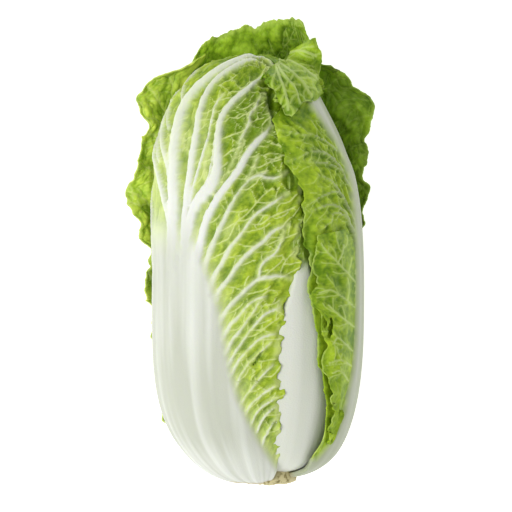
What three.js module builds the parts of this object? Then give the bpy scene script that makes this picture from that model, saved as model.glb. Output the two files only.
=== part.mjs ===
// A napa cabbage head, cut at the stem and lying on its back.
// Millimetres, +Z up. The head's axis runs along Y: the cut stem faces -Y, the leaf tips +Y.
// The origin is on the surface that the head rests on, under the middle of its bounding box.
// The head is built as it grew: leaves in layers around a stem core, each a curved sheet that
// is thick along its rib and thin at its edges, with the tightest leaves closed up into a heart.
import * as THREE from "three";

// Driving dimensions of the head
const HEAD_BASE = 5; // distance from the cut face of the stem to the lowest leaf
const WIDEST_AT = 128; // height of the widest place above the cut face
const CREST_AT = 300; // height of the crest, where the front leaves close over the head
const FRILL_AT = 346; // height where the loose back leaves would close, if they did
const HEAD_RADIUS = 73;
const FLATNESS = 0.92; // depth of the head as a share of its width
const PRESSED = 7; // how much its own weight flattens the underside

// Layers of leaves
const LAYER = 4.6; // from one leaf's outside to the next one's
const RIB_THICKNESS = 3.7;
const EDGE_THICKNESS = 1.8;
const RIB_SPREAD = 34; // degrees either side of the middle over which the rib thins out
const TIP_THINNING = 0.8; // share of the rib's extra thickness that is lost towards the tip
const ROW_STEP = 20; // length of one row of facets
const SHORTEST_ROW = 7; // a leaf's first and last rows are no shorter than this
const INNER_LEAVES = 8;
const INNER_SPREAD = 82; // degrees that an inner leaf wraps to either side
const FIRST_SPREAD = 72; // the same for the first one, which lies between the loose leaves
const INNER_OUTLINE = [0.8, 1, 1, 1, 1, 0.9, 0.7]; // share of the spread from the stem to the tip
const INNER_END = 352; // how far along the outline an inner leaf reaches
const HEART_GAP = 1;
const LEAF_TURN = 137.5; // each leaf stands this many degrees round the stem from the last

// Stem core
const CORE_RADIUS = 20;
const CORE_TIP_RADIUS = 9;
const CORE_LENGTH = 51;
const CORE_SHOULDER = 8; // height up to which the core keeps its full radius
const CORE_GAP = 0.8;
const CUT_ROUNDING = 4; // rounded edge of the cut face
const CORE_TIP_LENGTH = 3; // height of the blunt tip

// Flare of the loose back leaves: how far they stand out at the sides, and from what height
const LEFT_FLARE = { out: 30, from: 162, to: 205 };
const RIGHT_FLARE = { out: 32, from: 205, to: 262 };
const INSIDE_FLARE = 1.5; // how much faster than its radius a leaf's inner face loses the flare

const AXIS_HEIGHT = FLATNESS * HEAD_RADIUS - PRESSED;
const { degToRad, lerp, smoothstep } = THREE.MathUtils;

// The outline of one side of the head, from the base pole to the top pole. It is a blunt
// superellipse below the widest place and a more pointed one above it.
function headProfile(topAt) {
  const below = { reach: WIDEST_AT - HEAD_BASE, power: 3 };
  const above = { reach: topAt - WIDEST_AT, power: 2.5 };
  const steps = 48;
  const points = [];
  for (let i = 0; i <= steps; i++) {
    const angle = Math.PI * (i / steps - 0.5);
    const part = angle < 0 ? below : above;
    const across = Math.abs(Math.cos(angle)) / HEAD_RADIUS;
    const up = Math.abs(Math.sin(angle)) / part.reach;
    const size = (across ** part.power + up ** part.power) ** (-1 / part.power);
    points.push(new THREE.Vector2(size * Math.cos(angle), WIDEST_AT + size * Math.sin(angle)));
  }
  const curve = new THREE.SplineCurve(points);
  curve.arcLengthDivisions = 600;
  return { curve, length: curve.getLength(), topAt };
}

const CLOSED = headProfile(CREST_AT);
const LOOSE = headProfile(FRILL_AT);

// The head leans a little to its left near the top, and its stem sits a little to the right.
const LEAN = new THREE.SplineCurve([
  new THREE.Vector2(-10, 5),
  new THREE.Vector2(15, 3),
  new THREE.Vector2(60, 0),
  new THREE.Vector2(195, 0),
  new THREE.Vector2(232, -4),
  new THREE.Vector2(266, -8),
  new THREE.Vector2(300, -5),
  new THREE.Vector2(360, -2),
]);
const LEAN_STEPS = 500;
const LEAN_TABLE = LEAN.getPoints(LEAN_STEPS);

function leanAt(y) {
  const next = LEAN_TABLE.findIndex((p) => p.x >= y);
  if (next <= 0) return LEAN_TABLE[next < 0 ? LEAN_TABLE.length - 1 : 0].y;
  const [a, b] = [LEAN_TABLE[next - 1], LEAN_TABLE[next]];
  return lerp(a.y, b.y, (y - a.x) / (b.x - a.x));
}

// How far a loose leaf stands out of the head there. Only its outer edges do, beside the head.
function flareAt(angle, y) {
  const side = Math.cos(degToRad(angle));
  const flare = side < 0 ? LEFT_FLARE : RIGHT_FLARE;
  return flare.out * Math.abs(side) ** 1.5 * smoothstep(y, flare.from, flare.to);
}

// Radius and height of a layer that lies `depth` inside the outside of the head, at a distance
// `run` along the outline from the base pole.
function layerPoint(profile, run, depth) {
  const p = profile.curve.getPointAt(Math.min(run / profile.length, 1));
  const reach = p.y < WIDEST_AT ? WIDEST_AT - HEAD_BASE : profile.topAt - WIDEST_AT;
  return {
    radius: p.x * (1 - depth / HEAD_RADIUS),
    y: WIDEST_AT + (p.y - WIDEST_AT) * (1 - depth / reach),
  };
}

// A point of the head. The angle goes round the axis: 0 is the right side, 90 the front, which
// faces up, 180 the left side and 270 the back, which lies on the surface.
function headPoint(profile, angle, run, depth, target) {
  const { radius, y } = layerPoint(profile, run, depth);
  const turn = degToRad(angle);
  const flare = profile === LOOSE ? flareAt(angle, y) * (1 - (INSIDE_FLARE * depth) / HEAD_RADIUS) : 0;
  const x = leanAt(y) + (radius + flare) * Math.cos(turn);
  const z = AXIS_HEIGHT + FLATNESS * (radius + flare) * Math.sin(turn);
  return target.set(x, y, Math.max(z, FLATNESS * depth));
}

function coreRadiusAt(y) {
  const share = (y - CORE_SHOULDER) / (CORE_LENGTH + 1 - CORE_SHOULDER);
  return lerp(CORE_RADIUS, CORE_TIP_RADIUS, THREE.MathUtils.clamp(share, 0, 1));
}

// Where a leaf of this layer starts: just clear of the stem core.
function leafStart(profile, depth) {
  for (let run = 1; run < profile.length; run += 0.5) {
    const { radius, y } = layerPoint(profile, run, depth);
    if (FLATNESS * radius > coreRadiusAt(y) + CORE_GAP) return run;
  }
  throw new Error("no room for the stem core");
}

// A value listed at evenly spaced stations along a leaf.
function along(stations, t) {
  const place = THREE.MathUtils.clamp(t, 0, 1) * (stations.length - 1);
  const low = Math.min(Math.floor(place), stations.length - 2);
  return lerp(stations[low], stations[low + 1], place - low);
}

// Distances along the outline of a leaf's rows. All leaves share the rows past their start.
function leafRows(start, end) {
  const rows = [start];
  const first = Math.ceil((start + SHORTEST_ROW) / ROW_STEP) * ROW_STEP;
  for (let run = first; run < end - SHORTEST_ROW; run += ROW_STEP) rows.push(run);
  rows.push(end);
  return rows;
}

// One leaf: a box of facets bent onto its layer of the head. `left` and `right` are the angles
// of its two edges at stations from the stem to the tip, and `rib` the angle of its rib.
function leafGeometry({ profile, depth, rib, left, right, end, columns }) {
  const depthAt = typeof depth === "function" ? depth : () => depth;
  const rows = leafRows(leafStart(profile, depthAt(rib) + RIB_THICKNESS), end);
  const geometry = new THREE.BoxGeometry(1, 1, 1, columns, rows.length - 1, 1);
  const position = geometry.getAttribute("position");
  const vertex = new THREE.Vector3();
  for (let i = 0; i < position.count; i++) {
    vertex.fromBufferAttribute(position, i);
    const run = rows[Math.round((vertex.y + 0.5) * (rows.length - 1))];
    const t = run / profile.length;
    const angle = lerp(along(left, t), along(right, t), vertex.x + 0.5);
    const nearRib = 1 - smoothstep(Math.abs(angle - rib), 0, RIB_SPREAD);
    const thickness = lerp(EDGE_THICKNESS, RIB_THICKNESS, nearRib * (1 - TIP_THINNING * t));
    const below = vertex.z > 0 ? 0 : thickness;
    headPoint(profile, angle, run, depthAt(angle) + below, vertex);
    position.setXYZ(i, vertex.x, vertex.y, vertex.z);
  }
  geometry.computeVertexNormals();
  return geometry;
}

// The front left leaf is the outermost one, but it dives under the right leaf at its edge.
const frontLeftDepth = (angle) => LAYER * (1 - smoothstep(angle, 70, 95));

const OUTER_LEAVES = {
  front_left_leaf: {
    profile: CLOSED,
    depth: frontLeftDepth,
    rib: 143,
    left: [185, 203, 205, 194, 193, 193, 188],
    right: [76, 74, 76, 66, 58, 50, 50],
    end: 372,
    columns: 13,
  },
  right_leaf: {
    profile: CLOSED,
    depth: 0,
    rib: -4,
    left: [50, 40, 51, 58, 66, 62, 52],
    right: [-25, -30, -30, -20, -14, -14, -4],
    end: 364,
    columns: 8,
  },
  front_middle_leaf: {
    profile: CLOSED,
    depth: 2 * LAYER,
    rib: 62,
    left: [104, 106, 106, 103, 98, 92, 90],
    right: [18, 16, 18, 24, 30, 36, 40],
    end: 300,
    columns: 8,
  },
  back_leaf: {
    profile: LOOSE,
    depth: 0,
    rib: 270,
    left: [318, 322, 325, 325, 325, 325, 322, 302],
    right: [222, 218, 215, 215, 215, 215, 218, 238],
    end: 368,
    columns: 10,
  },
  left_back_leaf: {
    profile: LOOSE,
    depth: LAYER,
    rib: 226,
    left: [262, 262, 262, 262, 262, 258, 250, 245],
    right: [200, 195, 194, 198, 200, 202, 210, 215],
    end: 336,
    columns: 7,
  },
  right_back_leaf: {
    profile: LOOSE,
    depth: LAYER,
    rib: 314,
    left: [345, 345, 345, 343, 343, 343, 332, 325],
    right: [278, 278, 278, 278, 280, 284, 294, 300],
    end: 336,
    columns: 7,
  },
};

// The inner leaves wrap the heart one inside the other, turned on round the stem.
function innerLeaf(index) {
  const depth = (2 + index) * LAYER;
  const rib = (270 + index * LEAF_TURN) % 360;
  const spread = index ? INNER_SPREAD : FIRST_SPREAD;
  return {
    profile: CLOSED,
    depth,
    rib,
    left: INNER_OUTLINE.map((share) => rib + share * spread),
    right: INNER_OUTLINE.map((share) => rib - share * spread),
    end: INNER_END,
    columns: index < 4 ? 11 : 9,
  };
}

// The heart: the closed bud of small leaves in the middle of the head.
function heartGeometry() {
  const depth = (2 + INNER_LEAVES) * LAYER + HEART_GAP;
  const geometry = new THREE.SphereGeometry(1, 14, 12);
  const position = geometry.getAttribute("position");
  const vertex = new THREE.Vector3();
  for (let i = 0; i < position.count; i++) {
    vertex.fromBufferAttribute(position, i);
    const share = 1 - Math.acos(THREE.MathUtils.clamp(vertex.y, -1, 1)) / Math.PI;
    const pole = share < 1e-6 || share > 1 - 1e-6;
    const angle = pole ? 0 : THREE.MathUtils.radToDeg(Math.atan2(-vertex.z, vertex.x));
    headPoint(CLOSED, -angle, share * CLOSED.length, depth, vertex);
    position.setXYZ(i, vertex.x, vertex.y, vertex.z);
  }
  geometry.computeVertexNormals();
  return geometry;
}

// The stem: the cut stump below the leaves and the core that carries them inside the head.
function stemGeometry() {
  const tipStart = CORE_LENGTH - CORE_TIP_LENGTH;
  const outline = [
    [0, 0],
    [CORE_RADIUS - CUT_ROUNDING, 0],
    [CORE_RADIUS, CUT_ROUNDING],
    [CORE_RADIUS, CORE_SHOULDER],
    [coreRadiusAt(tipStart), tipStart],
    [CORE_TIP_RADIUS / 2, CORE_LENGTH],
    [0, CORE_LENGTH],
  ].map(([radius, y]) => new THREE.Vector2(radius, y));
  const geometry = new THREE.LatheGeometry(outline, 18);
  const position = geometry.getAttribute("position");
  for (let i = 0; i < position.count; i++) {
    const y = position.getY(i);
    position.setXYZ(i, position.getX(i) + leanAt(y), y, position.getZ(i) + AXIS_HEIGHT);
  }
  geometry.computeVertexNormals();
  return geometry;
}

// Materials: fresh leaf, paler and yellower towards the heart, and the cut stem
const OUTER_GREEN = new THREE.MeshStandardMaterial({ color: 0x9dbb42, roughness: 0.5, metalness: 0 });
const BACK_GREEN = new THREE.MeshStandardMaterial({ color: 0x7da32c, roughness: 0.55, metalness: 0 });
const INNER_YELLOW = new THREE.MeshStandardMaterial({ color: 0xdfe2a0, roughness: 0.5, metalness: 0 });
const STEM_CREAM = new THREE.MeshStandardMaterial({ color: 0xd8cf9c, roughness: 0.75, metalness: 0 });

function piece(name, geometry, material) {
  const mesh = new THREE.Mesh(geometry, material);
  mesh.name = name;
  return mesh;
}

const cabbage = new THREE.Group();
cabbage.add(piece("stem", stemGeometry(), STEM_CREAM));
for (const [name, leaf] of Object.entries(OUTER_LEAVES)) {
  const material = name.includes("back") ? BACK_GREEN : OUTER_GREEN;
  cabbage.add(piece(name, leafGeometry(leaf), material));
}
for (let i = 0; i < INNER_LEAVES; i++) {
  cabbage.add(piece(`inner_leaf_${i + 1}`, leafGeometry(innerLeaf(i)), INNER_YELLOW));
}
cabbage.add(piece("heart", heartGeometry(), INNER_YELLOW));

// The origin goes under the middle of the bounding box.
const box = new THREE.Box3().setFromObject(cabbage);
const middle = box.getCenter(new THREE.Vector3());
cabbage.position.set(-middle.x, -middle.y, -box.min.z);

export default cabbage;
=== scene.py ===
# %% [markdown]
# # A napa cabbage, leaf by leaf
# A cut cabbage head lies on its back on a pale floor, and the camera looks straight down on it.
# The solids of the head are loaded as a fixed frame. Every leaf is then modelled again as a fine
# sheet that stays where its solid is: thick white ribs that fan out, a puckered green blade
# between them, and torn and frilled edges.

# %% Load the frame
import math
import random

import bmesh
import bpy
import numpy as np
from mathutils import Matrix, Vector, kdtree, noise


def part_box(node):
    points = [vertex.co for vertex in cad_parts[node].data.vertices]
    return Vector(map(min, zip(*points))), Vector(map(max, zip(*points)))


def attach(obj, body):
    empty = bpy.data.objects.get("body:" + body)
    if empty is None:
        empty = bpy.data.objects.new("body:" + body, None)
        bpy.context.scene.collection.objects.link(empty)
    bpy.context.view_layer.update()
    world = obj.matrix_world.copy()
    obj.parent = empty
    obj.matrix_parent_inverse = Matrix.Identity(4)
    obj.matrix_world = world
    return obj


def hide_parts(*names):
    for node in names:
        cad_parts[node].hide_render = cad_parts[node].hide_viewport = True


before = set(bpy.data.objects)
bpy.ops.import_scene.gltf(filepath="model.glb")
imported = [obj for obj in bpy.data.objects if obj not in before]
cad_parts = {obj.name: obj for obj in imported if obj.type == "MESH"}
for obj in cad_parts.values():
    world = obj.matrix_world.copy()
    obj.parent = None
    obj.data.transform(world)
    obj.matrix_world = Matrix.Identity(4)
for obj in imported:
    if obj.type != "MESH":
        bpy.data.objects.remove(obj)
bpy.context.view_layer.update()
MM = 0.001
print("solids in the frame:", len(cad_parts))

# %% [markdown]
# ## The shape that all leaves share
# A head of cabbage is a stack of leaves that copy one another. Each leaf could be modelled freely
# and pushed into place, but then layers cut through each other. So one curved surface is described
# once: how wide the head is at each height, how far a leaf lies inside it, and how its underside is
# pressed flat where it rests. Each leaf is then a patch of that surface. Work is done in
# millimetres on the head's own axis, from the cut face of the stem.

# %% Small helpers
def smoothstep(x, low, high):
    """0 below low, 1 above high, and a soft ramp between them."""
    t = np.clip((np.asarray(x, float) - low) / (high - low), 0, 1)
    return t * t * (3 - 2 * t)


def mix(a, b, t):
    """a where t is 0, b where t is 1."""
    return a + (b - a) * t


def bell(x):
    """1 at 0, and softly down to nothing at about 2."""
    return np.exp(-(x**2))


def soft_curve(points, count=120):
    """A smooth curve through given points."""
    p = np.asarray(points, float)
    p = np.vstack([2 * p[0] - p[1], p, 2 * p[-1] - p[-2]])
    place = np.linspace(0, len(p) - 3 - 1e-9, count)
    i = place.astype(int)
    t = (place - i)[:, None]
    a, b, c, d = p[i], p[i + 1], p[i + 2], p[i + 3]
    bend = (2 * a - 5 * b + 4 * c - d) * t**2 + (3 * b - a - 3 * c + d) * t**3
    return 0.5 * (2 * b + (c - a) * t + bend)


def noise_on(points, size, octaves=3, seed=0.0):
    """Soft noise from about -1 to 1, with lumps of this size in millimetres."""
    flat = points.reshape(-1, 3) / size + seed * 17.3
    values = [noise.fractal(p, 1.0, 2.0, octaves) for p in flat.tolist()]
    return np.array(values).reshape(points.shape[:-1])


def ragged(places, size, seed):
    """Uneven steps of about -1 to 1 for a torn edge, with teeth of this size."""
    return np.array([noise.noise((p / size, seed, 1.1)) + 0.6 * noise.noise((p / size / 0.4, seed, 4.1))
                     for p in places])


# %% [markdown]
# The outline is a blunt curve below the widest place and a more pointed one above it. The front
# leaves close over the crest. The loose leaves at the back would only close further up, so they
# stand open. The head leans a little to its left near the top.

# %% The outline of the head
HEAD_BASE, WIDEST_AT, CREST_AT, FRILL_AT = 5, 128, 300, 346
HEAD_RADIUS = 73
FLATNESS = 0.92
PRESSED = 7
BASE_POWER, TOP_POWER = 3, 2.5
AXIS_HEIGHT = FLATNESS * HEAD_RADIUS - PRESSED
MIDDLE_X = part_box("right_leaf")[1].x / MM - HEAD_RADIUS
CUT_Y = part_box("stem")[0].y / MM


def head_profile(top):
    """Radius, height and distance along the outline, from the base pole to the top pole."""
    turn = np.linspace(-np.pi / 2, np.pi / 2, 1201)
    reach = np.where(turn < 0, WIDEST_AT - HEAD_BASE, top - WIDEST_AT)
    power = np.where(turn < 0, BASE_POWER, TOP_POWER)
    across = np.abs(np.cos(turn)) / HEAD_RADIUS
    up = np.abs(np.sin(turn)) / reach
    size = (across**power + up**power) ** (-1 / power)
    radius = size * np.cos(turn)
    y = WIDEST_AT + size * np.sin(turn)
    run = np.concatenate([[0], np.cumsum(np.hypot(np.diff(radius), np.diff(y)))])
    return {"radius": radius, "y": y, "run": run, "length": run[-1], "top": top}


CLOSED = head_profile(CREST_AT)
LOOSE = head_profile(FRILL_AT)
LEAN = soft_curve([(-10, 5), (15, 3), (60, 0), (195, 0), (232, -4), (266, -8), (300, -5), (360, -2)], 400)
print(f"outline of the closed head {CLOSED['length']:.0f} mm, of the loose leaves {LOOSE['length']:.0f} mm")

# %% [markdown]
# A place on the head is an angle round the axis, a distance along the outline and a depth inside
# the outside. Angle 0 is the right side, 90 the front, which faces up, and 270 the back.

# %% A point of the head
def lean_at(y):
    """How far the head's axis lies to the right at this height."""
    return np.interp(y, LEAN[:, 0], LEAN[:, 1])


def head_point(profile, angle, run, depth, flare=0.0, rise=1.0):
    """Points of the head. A flare moves them out of it, and rise is its share that counts in height."""
    radius = np.interp(run, profile["run"], profile["radius"]) * (1 - depth / HEAD_RADIUS)
    y = np.interp(run, profile["run"], profile["y"])
    reach = np.where(y < WIDEST_AT, WIDEST_AT - HEAD_BASE, profile["top"] - WIDEST_AT)
    y = WIDEST_AT + (y - WIDEST_AT) * (1 - depth / reach)
    turn = np.radians(angle)
    x = lean_at(y) + (radius + flare) * np.cos(turn)
    z = AXIS_HEIGHT + FLATNESS * (radius + rise * flare) * np.sin(turn)
    return np.stack(np.broadcast_arrays(x, y, np.maximum(z, FLATNESS * depth)), axis=-1)


# %% [markdown]
# ## The camera
# The photograph looks square at the front of the head with a long lens. The head lies on its
# back here, so the camera hangs above it and looks straight down, with the leaf tips at the top
# of the picture. One picture pixel is 0.69 mm at the height of the head's axis.

# %% The camera
PIXEL = 0.69
PICTURE = 512
CAMERA_RISE = 1800
VIEW_X, VIEW_Y = -1.4, 158.0
SENSOR = 36

camera_data = bpy.data.cameras.new("camera")
camera_data.sensor_width = SENSOR
camera_data.lens = SENSOR * CAMERA_RISE / (PIXEL * PICTURE)
camera_data.clip_end = 20
camera = bpy.data.objects.new("camera", camera_data)
camera.location = Vector((MIDDLE_X + VIEW_X, CUT_Y + VIEW_Y, AXIS_HEIGHT + CAMERA_RISE)) * MM
bpy.context.scene.collection.objects.link(camera)
bpy.context.scene.camera = camera
print(f"lens {camera_data.lens:.0f} mm, picture {PIXEL * PICTURE:.0f} mm wide")

# %% [markdown]
# Ribs and torn edges are given as pixels of the photograph. Each is a sight line, so it is
# followed down to the head's front surface, which gives a real place in millimetres. Fine veins are
# grown on a flat chart of the leaf, as if it were peeled off the head and unrolled.

# %% From pixels to the head, and to a leaf's chart
def seen_at(points):
    """Where the camera sees points of the head, in picture pixels."""
    scale = PIXEL * (CAMERA_RISE - (points[..., 2] - AXIS_HEIGHT)) / CAMERA_RISE
    px = PICTURE / 2 + (points[..., 0] - VIEW_X) / scale
    py = PICTURE / 2 - (points[..., 1] - VIEW_Y) / scale
    return px, py


def on_front(pixels):
    """The points of the head's front surface that the camera sees at these pixels."""
    px, py = np.asarray(pixels, float).T
    z = np.full(len(px), AXIS_HEIGHT)
    for _ in range(6):
        scale = PIXEL * (CAMERA_RISE - (z - AXIS_HEIGHT)) / CAMERA_RISE
        x = VIEW_X + (px - PICTURE / 2) * scale
        y = VIEW_Y - (py - PICTURE / 2) * scale
        radius = np.interp(y, CLOSED["y"], CLOSED["radius"])
        z = AXIS_HEIGHT + FLATNESS * np.sqrt(np.maximum(radius**2 - (x - lean_at(y)) ** 2, 0))
    return np.stack([x, y, z], axis=-1)


def angle_and_run(pixels):
    """The same as an angle round the head and a distance along its outline."""
    p = on_front(pixels)
    radius = np.interp(p[:, 1], CLOSED["y"], CLOSED["radius"])
    turn = np.arccos(np.clip((p[:, 0] - lean_at(p[:, 1])) / np.maximum(radius, 1), -1, 1))
    return np.degrees(turn), np.interp(p[:, 1], CLOSED["y"], CLOSED["run"])


def unrolled(angle, run):
    """The flat chart of the head: millimetres to the right and up, as the camera sees the front."""
    return np.stack(np.broadcast_arrays(-HEAD_RADIUS * np.radians(angle), run), axis=-1)


def on_chart(pixels, count=60):
    """A smooth curve through these pixels, on the flat chart of the head."""
    return unrolled(*angle_and_run(soft_curve(pixels, count)))


def edge_angles(edge, runs):
    """The angle of a leaf's edge at each distance along it, from its pixels."""
    angle, run = angle_and_run(soft_curve(edge, 300))
    order = np.argsort(run)
    return np.interp(runs, run[order], angle[order])


# %% [markdown]
# ## A sheet with relief
# A leaf is a sheet. It could be sculpted or given displacement in the material, but the exported
# mesh would lose both. So a grid from bmesh is laid on the head's surface, and each of its points
# is moved along the surface's own normal by the height of the ribs, veins and puckers there. What
# the shader needs, such as where the tissue is white, is stored as attributes on the points, so
# colour and shape never part.

# %% Grids
def normals_of(grid):
    """Outward normals of a grid of points, rows running from the stem to the tip."""
    n = np.cross(np.gradient(grid, axis=1), np.gradient(grid, axis=0))
    return n / np.maximum(np.linalg.norm(n, axis=-1, keepdims=True), 1e-9)


def raised(points, height):
    """The grid, with each point moved along the surface's own normal."""
    return points + normals_of(points) * height[..., None]


def spaced(*stops):
    """Places from 0 to 1 whose spacing changes: each stop is (place, steps up to it)."""
    places = [0.0]
    for place, steps in stops:
        places.extend(np.linspace(places[-1], place, steps + 1)[1:])
    return np.array(places)


def chart_of(points):
    """Millimetres across and along a sheet, measured on the sheet itself."""
    across = np.linalg.norm(np.diff(points, axis=1), axis=-1).mean(axis=0)
    along = np.linalg.norm(np.diff(points, axis=0), axis=-1).mean(axis=1)
    u = np.concatenate([[0], np.cumsum(across)])
    v = np.concatenate([[0], np.cumsum(along)])
    return np.stack(np.broadcast_arrays(u[None, :], v[:, None]), axis=-1)


# %% [markdown]
# Solidify gives the sheet its thickness: thick where the rib is, thin at the edges. A vertex group
# scales it, in steps of a fiftieth. A blade is under a millimetre thick, and a little coarser on
# the loose leaves and the folds. Points inside a tear are deleted first, so that a hole gets the
# same thin wall as the edge of the leaf.

# %% Make a sheet
SHEET_THICKNESS = 3.4
BLADE_THICKNESS, LOOSE_THICKNESS = 0.7, 0.8
THICKNESS_STEPS = 50
triangles = {}


def make_sheet(name, node, points, traits, thickness, floor=0.2, torn=None):
    """A finished leaf piece from a grid of points, its traits and its thickness in millimetres."""
    rows, columns = points.shape[:2]
    bm = bmesh.new()
    bmesh.ops.create_grid(bm, x_segments=columns - 1, y_segments=rows - 1, size=0.5, calc_uvs=False)
    if torn is not None:
        places = [(round((v.co.y + 0.5) * (rows - 1)), round((v.co.x + 0.5) * (columns - 1)))
                  for v in bm.verts]
        lost = [v for v, place in zip(bm.verts, places) if torn[place]]
        bmesh.ops.delete(bm, geom=lost, context="VERTS")
    mesh = bpy.data.meshes.new(name)
    bm.to_mesh(mesh)
    bm.free()

    flat = np.zeros(len(mesh.vertices) * 3)
    mesh.vertices.foreach_get("co", flat)
    column = np.rint((flat[0::3] + 0.5) * (columns - 1)).astype(int)
    row = np.rint((flat[1::3] + 0.5) * (rows - 1)).astype(int)
    place = points[row, column] + (MIDDLE_X, CUT_Y, 0)
    place[:, 2] = np.maximum(place[:, 2], floor)
    mesh.vertices.foreach_set("co", (place * MM).ravel())

    corner = np.zeros(len(mesh.loops), int)
    mesh.loops.foreach_get("vertex_index", corner)
    chart = chart_of(points) * MM
    mesh.uv_layers.new(name="leaf").data.foreach_set("uv", chart[row[corner], column[corner]].ravel())
    for trait, values in traits.items():
        layer = mesh.attributes.new(trait, "FLOAT", "POINT")
        values = np.broadcast_to(values, (rows, columns))
        layer.data.foreach_set("value", np.clip(values[row, column], 0, 1).astype(np.float32))
    mesh.shade_smooth()

    piece = bpy.data.objects.new(name, mesh)
    bpy.context.scene.collection.objects.link(piece)
    group = piece.vertex_groups.new(name="thickness")
    share = np.clip(thickness[row, column] / SHEET_THICKNESS, 1 / THICKNESS_STEPS, 1)
    levels = np.rint(share * THICKNESS_STEPS).astype(int)
    for level in np.unique(levels):
        group.add(np.nonzero(levels == level)[0].tolist(), level / THICKNESS_STEPS, "REPLACE")
    solid = piece.modifiers.new("leaf thickness", "SOLIDIFY")
    solid.thickness = SHEET_THICKNESS * MM
    solid.offset = -1
    solid.vertex_group = "thickness"
    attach(piece, "root")
    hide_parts(node)
    triangles[name] = 4 * (rows - 1) * (columns - 1) + 4 * (rows + columns)
    print(f"{name}: {rows} x {columns} points, about {triangles[name]} triangles")
    return piece


# %% [markdown]
# ## Ribs
# A rib is a curve with a half width that changes along it. Each grid point is lifted by its
# distance to the nearest ribs, so ribs run together as smoothly as they do on the plant. A rib is
# ragged at its sides, fades out at its end, and has a crease beside it where the blade dives under,
# deeper on its upper left side.

# %% Distance to a rib
def near(points, line, reach):
    """Distance of each point to a line, how far along the nearest place is, and on which side."""
    flat = points.reshape(-1, 3)
    distance, along, side = np.full(len(flat), 1e3), np.zeros(len(flat)), np.zeros(len(flat))
    inside = np.all((flat > line.min(0) - reach) & (flat < line.max(0) + reach), axis=1)
    pick = flat[inside]
    best, where, turn = np.full(len(pick), 1e3), np.zeros(len(pick)), np.zeros(len(pick))
    for i in range(len(line) - 1):
        step = line[i + 1] - line[i]
        off = pick - line[i]
        t = np.clip(off @ step / max(step @ step, 1e-9), 0, 1)
        d = np.linalg.norm(off - t[:, None] * step, axis=1)
        closer = d < best
        best[closer] = d[closer]
        where[closer] = (i + t[closer]) / (len(line) - 1)
        turn[closer] = (step[0] * off[:, 1] - step[1] * off[:, 0])[closer]
    distance[inside], along[inside], side[inside] = best, where, np.sign(turn)
    shape = points.shape[:-1]
    return distance.reshape(shape), along.reshape(shape), side.reshape(shape)


# %% [markdown]
# The ribs could be separate tubes laid on the leaf, but a real rib is the leaf itself, only thicker.
# So they are summed into one height, and the same distances give what the shader needs to know.
# The foot of a rib reaches a little past its half width.

# %% Ribs on a sheet
RIB_RISE, RIB_FOOT = 0.75, 1.35
CREASE_SHIFT, CREASE_WIDTH = 1.3, 1.1


def ribs_on(points, ribs):
    """Height, whiteness, halo and crease of ribs. A rib is (line, half widths along it, whiteness)."""
    height, white, halo, crease = (np.zeros(points.shape[:-1]) for _ in range(4))
    rough = noise_on(points, 3.5, 2, 31)
    for line, widths, whiteness in ribs:
        distance, along, side = near(points, line, 4 * max(widths) + 8)
        half = np.interp(along, np.linspace(0, 1, len(widths)), widths)
        q = distance / half * (1 + 0.2 * rough)
        end = 1 - smoothstep(along, 0.86, 1)
        bump = RIB_RISE * half**0.8 * np.clip(1 - (q / RIB_FOOT) ** 2, 0, 1) ** 1.1 * mix(0.4, 1, end)
        height = (height**4 + bump**4) ** 0.25
        skin = (1 - smoothstep(q, 0.7, RIB_FOOT)) * whiteness * mix(0.5, 1, end)
        white = np.maximum(white, skin)
        halo = np.maximum(halo, bell(distance / (half + 1.8)))
        beside = bell((distance - half * RIB_FOOT - CREASE_SHIFT) / CREASE_WIDTH) * end
        crease = np.maximum(crease, beside * np.where(side > 0, 1, 0.45))
    return height, white, halo, crease * (1 - smoothstep(white, 0.1, 0.5))


# %% [markdown]
# ## Veins
# Fine veins could be a cell texture, but its cells are all alike and ignore the ribs. They are
# grown instead. From each rib, twigs leave at a steep angle on both sides, bend towards the leaf's
# tip, wander a little, and stop where they meet another vein. Doing it again from the twigs closes
# the net. This gives cells of uneven size that follow the ribs.

# %% Growing veins
CELL = 0.8
TWIG_TURN = 56
VEIN_STEP = 0.6
WANDER = 0.09
SHORTEST = 3


def evenly(line, step):
    """The same line with evenly spaced points."""
    line = np.asarray(line, float)
    length = np.concatenate([[0], np.cumsum(np.linalg.norm(np.diff(line, axis=0), axis=1))])
    places = np.arange(0, length[-1], step)
    return np.stack([np.interp(places, length, line[:, k]) for k in (0, 1)], axis=-1)


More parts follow.
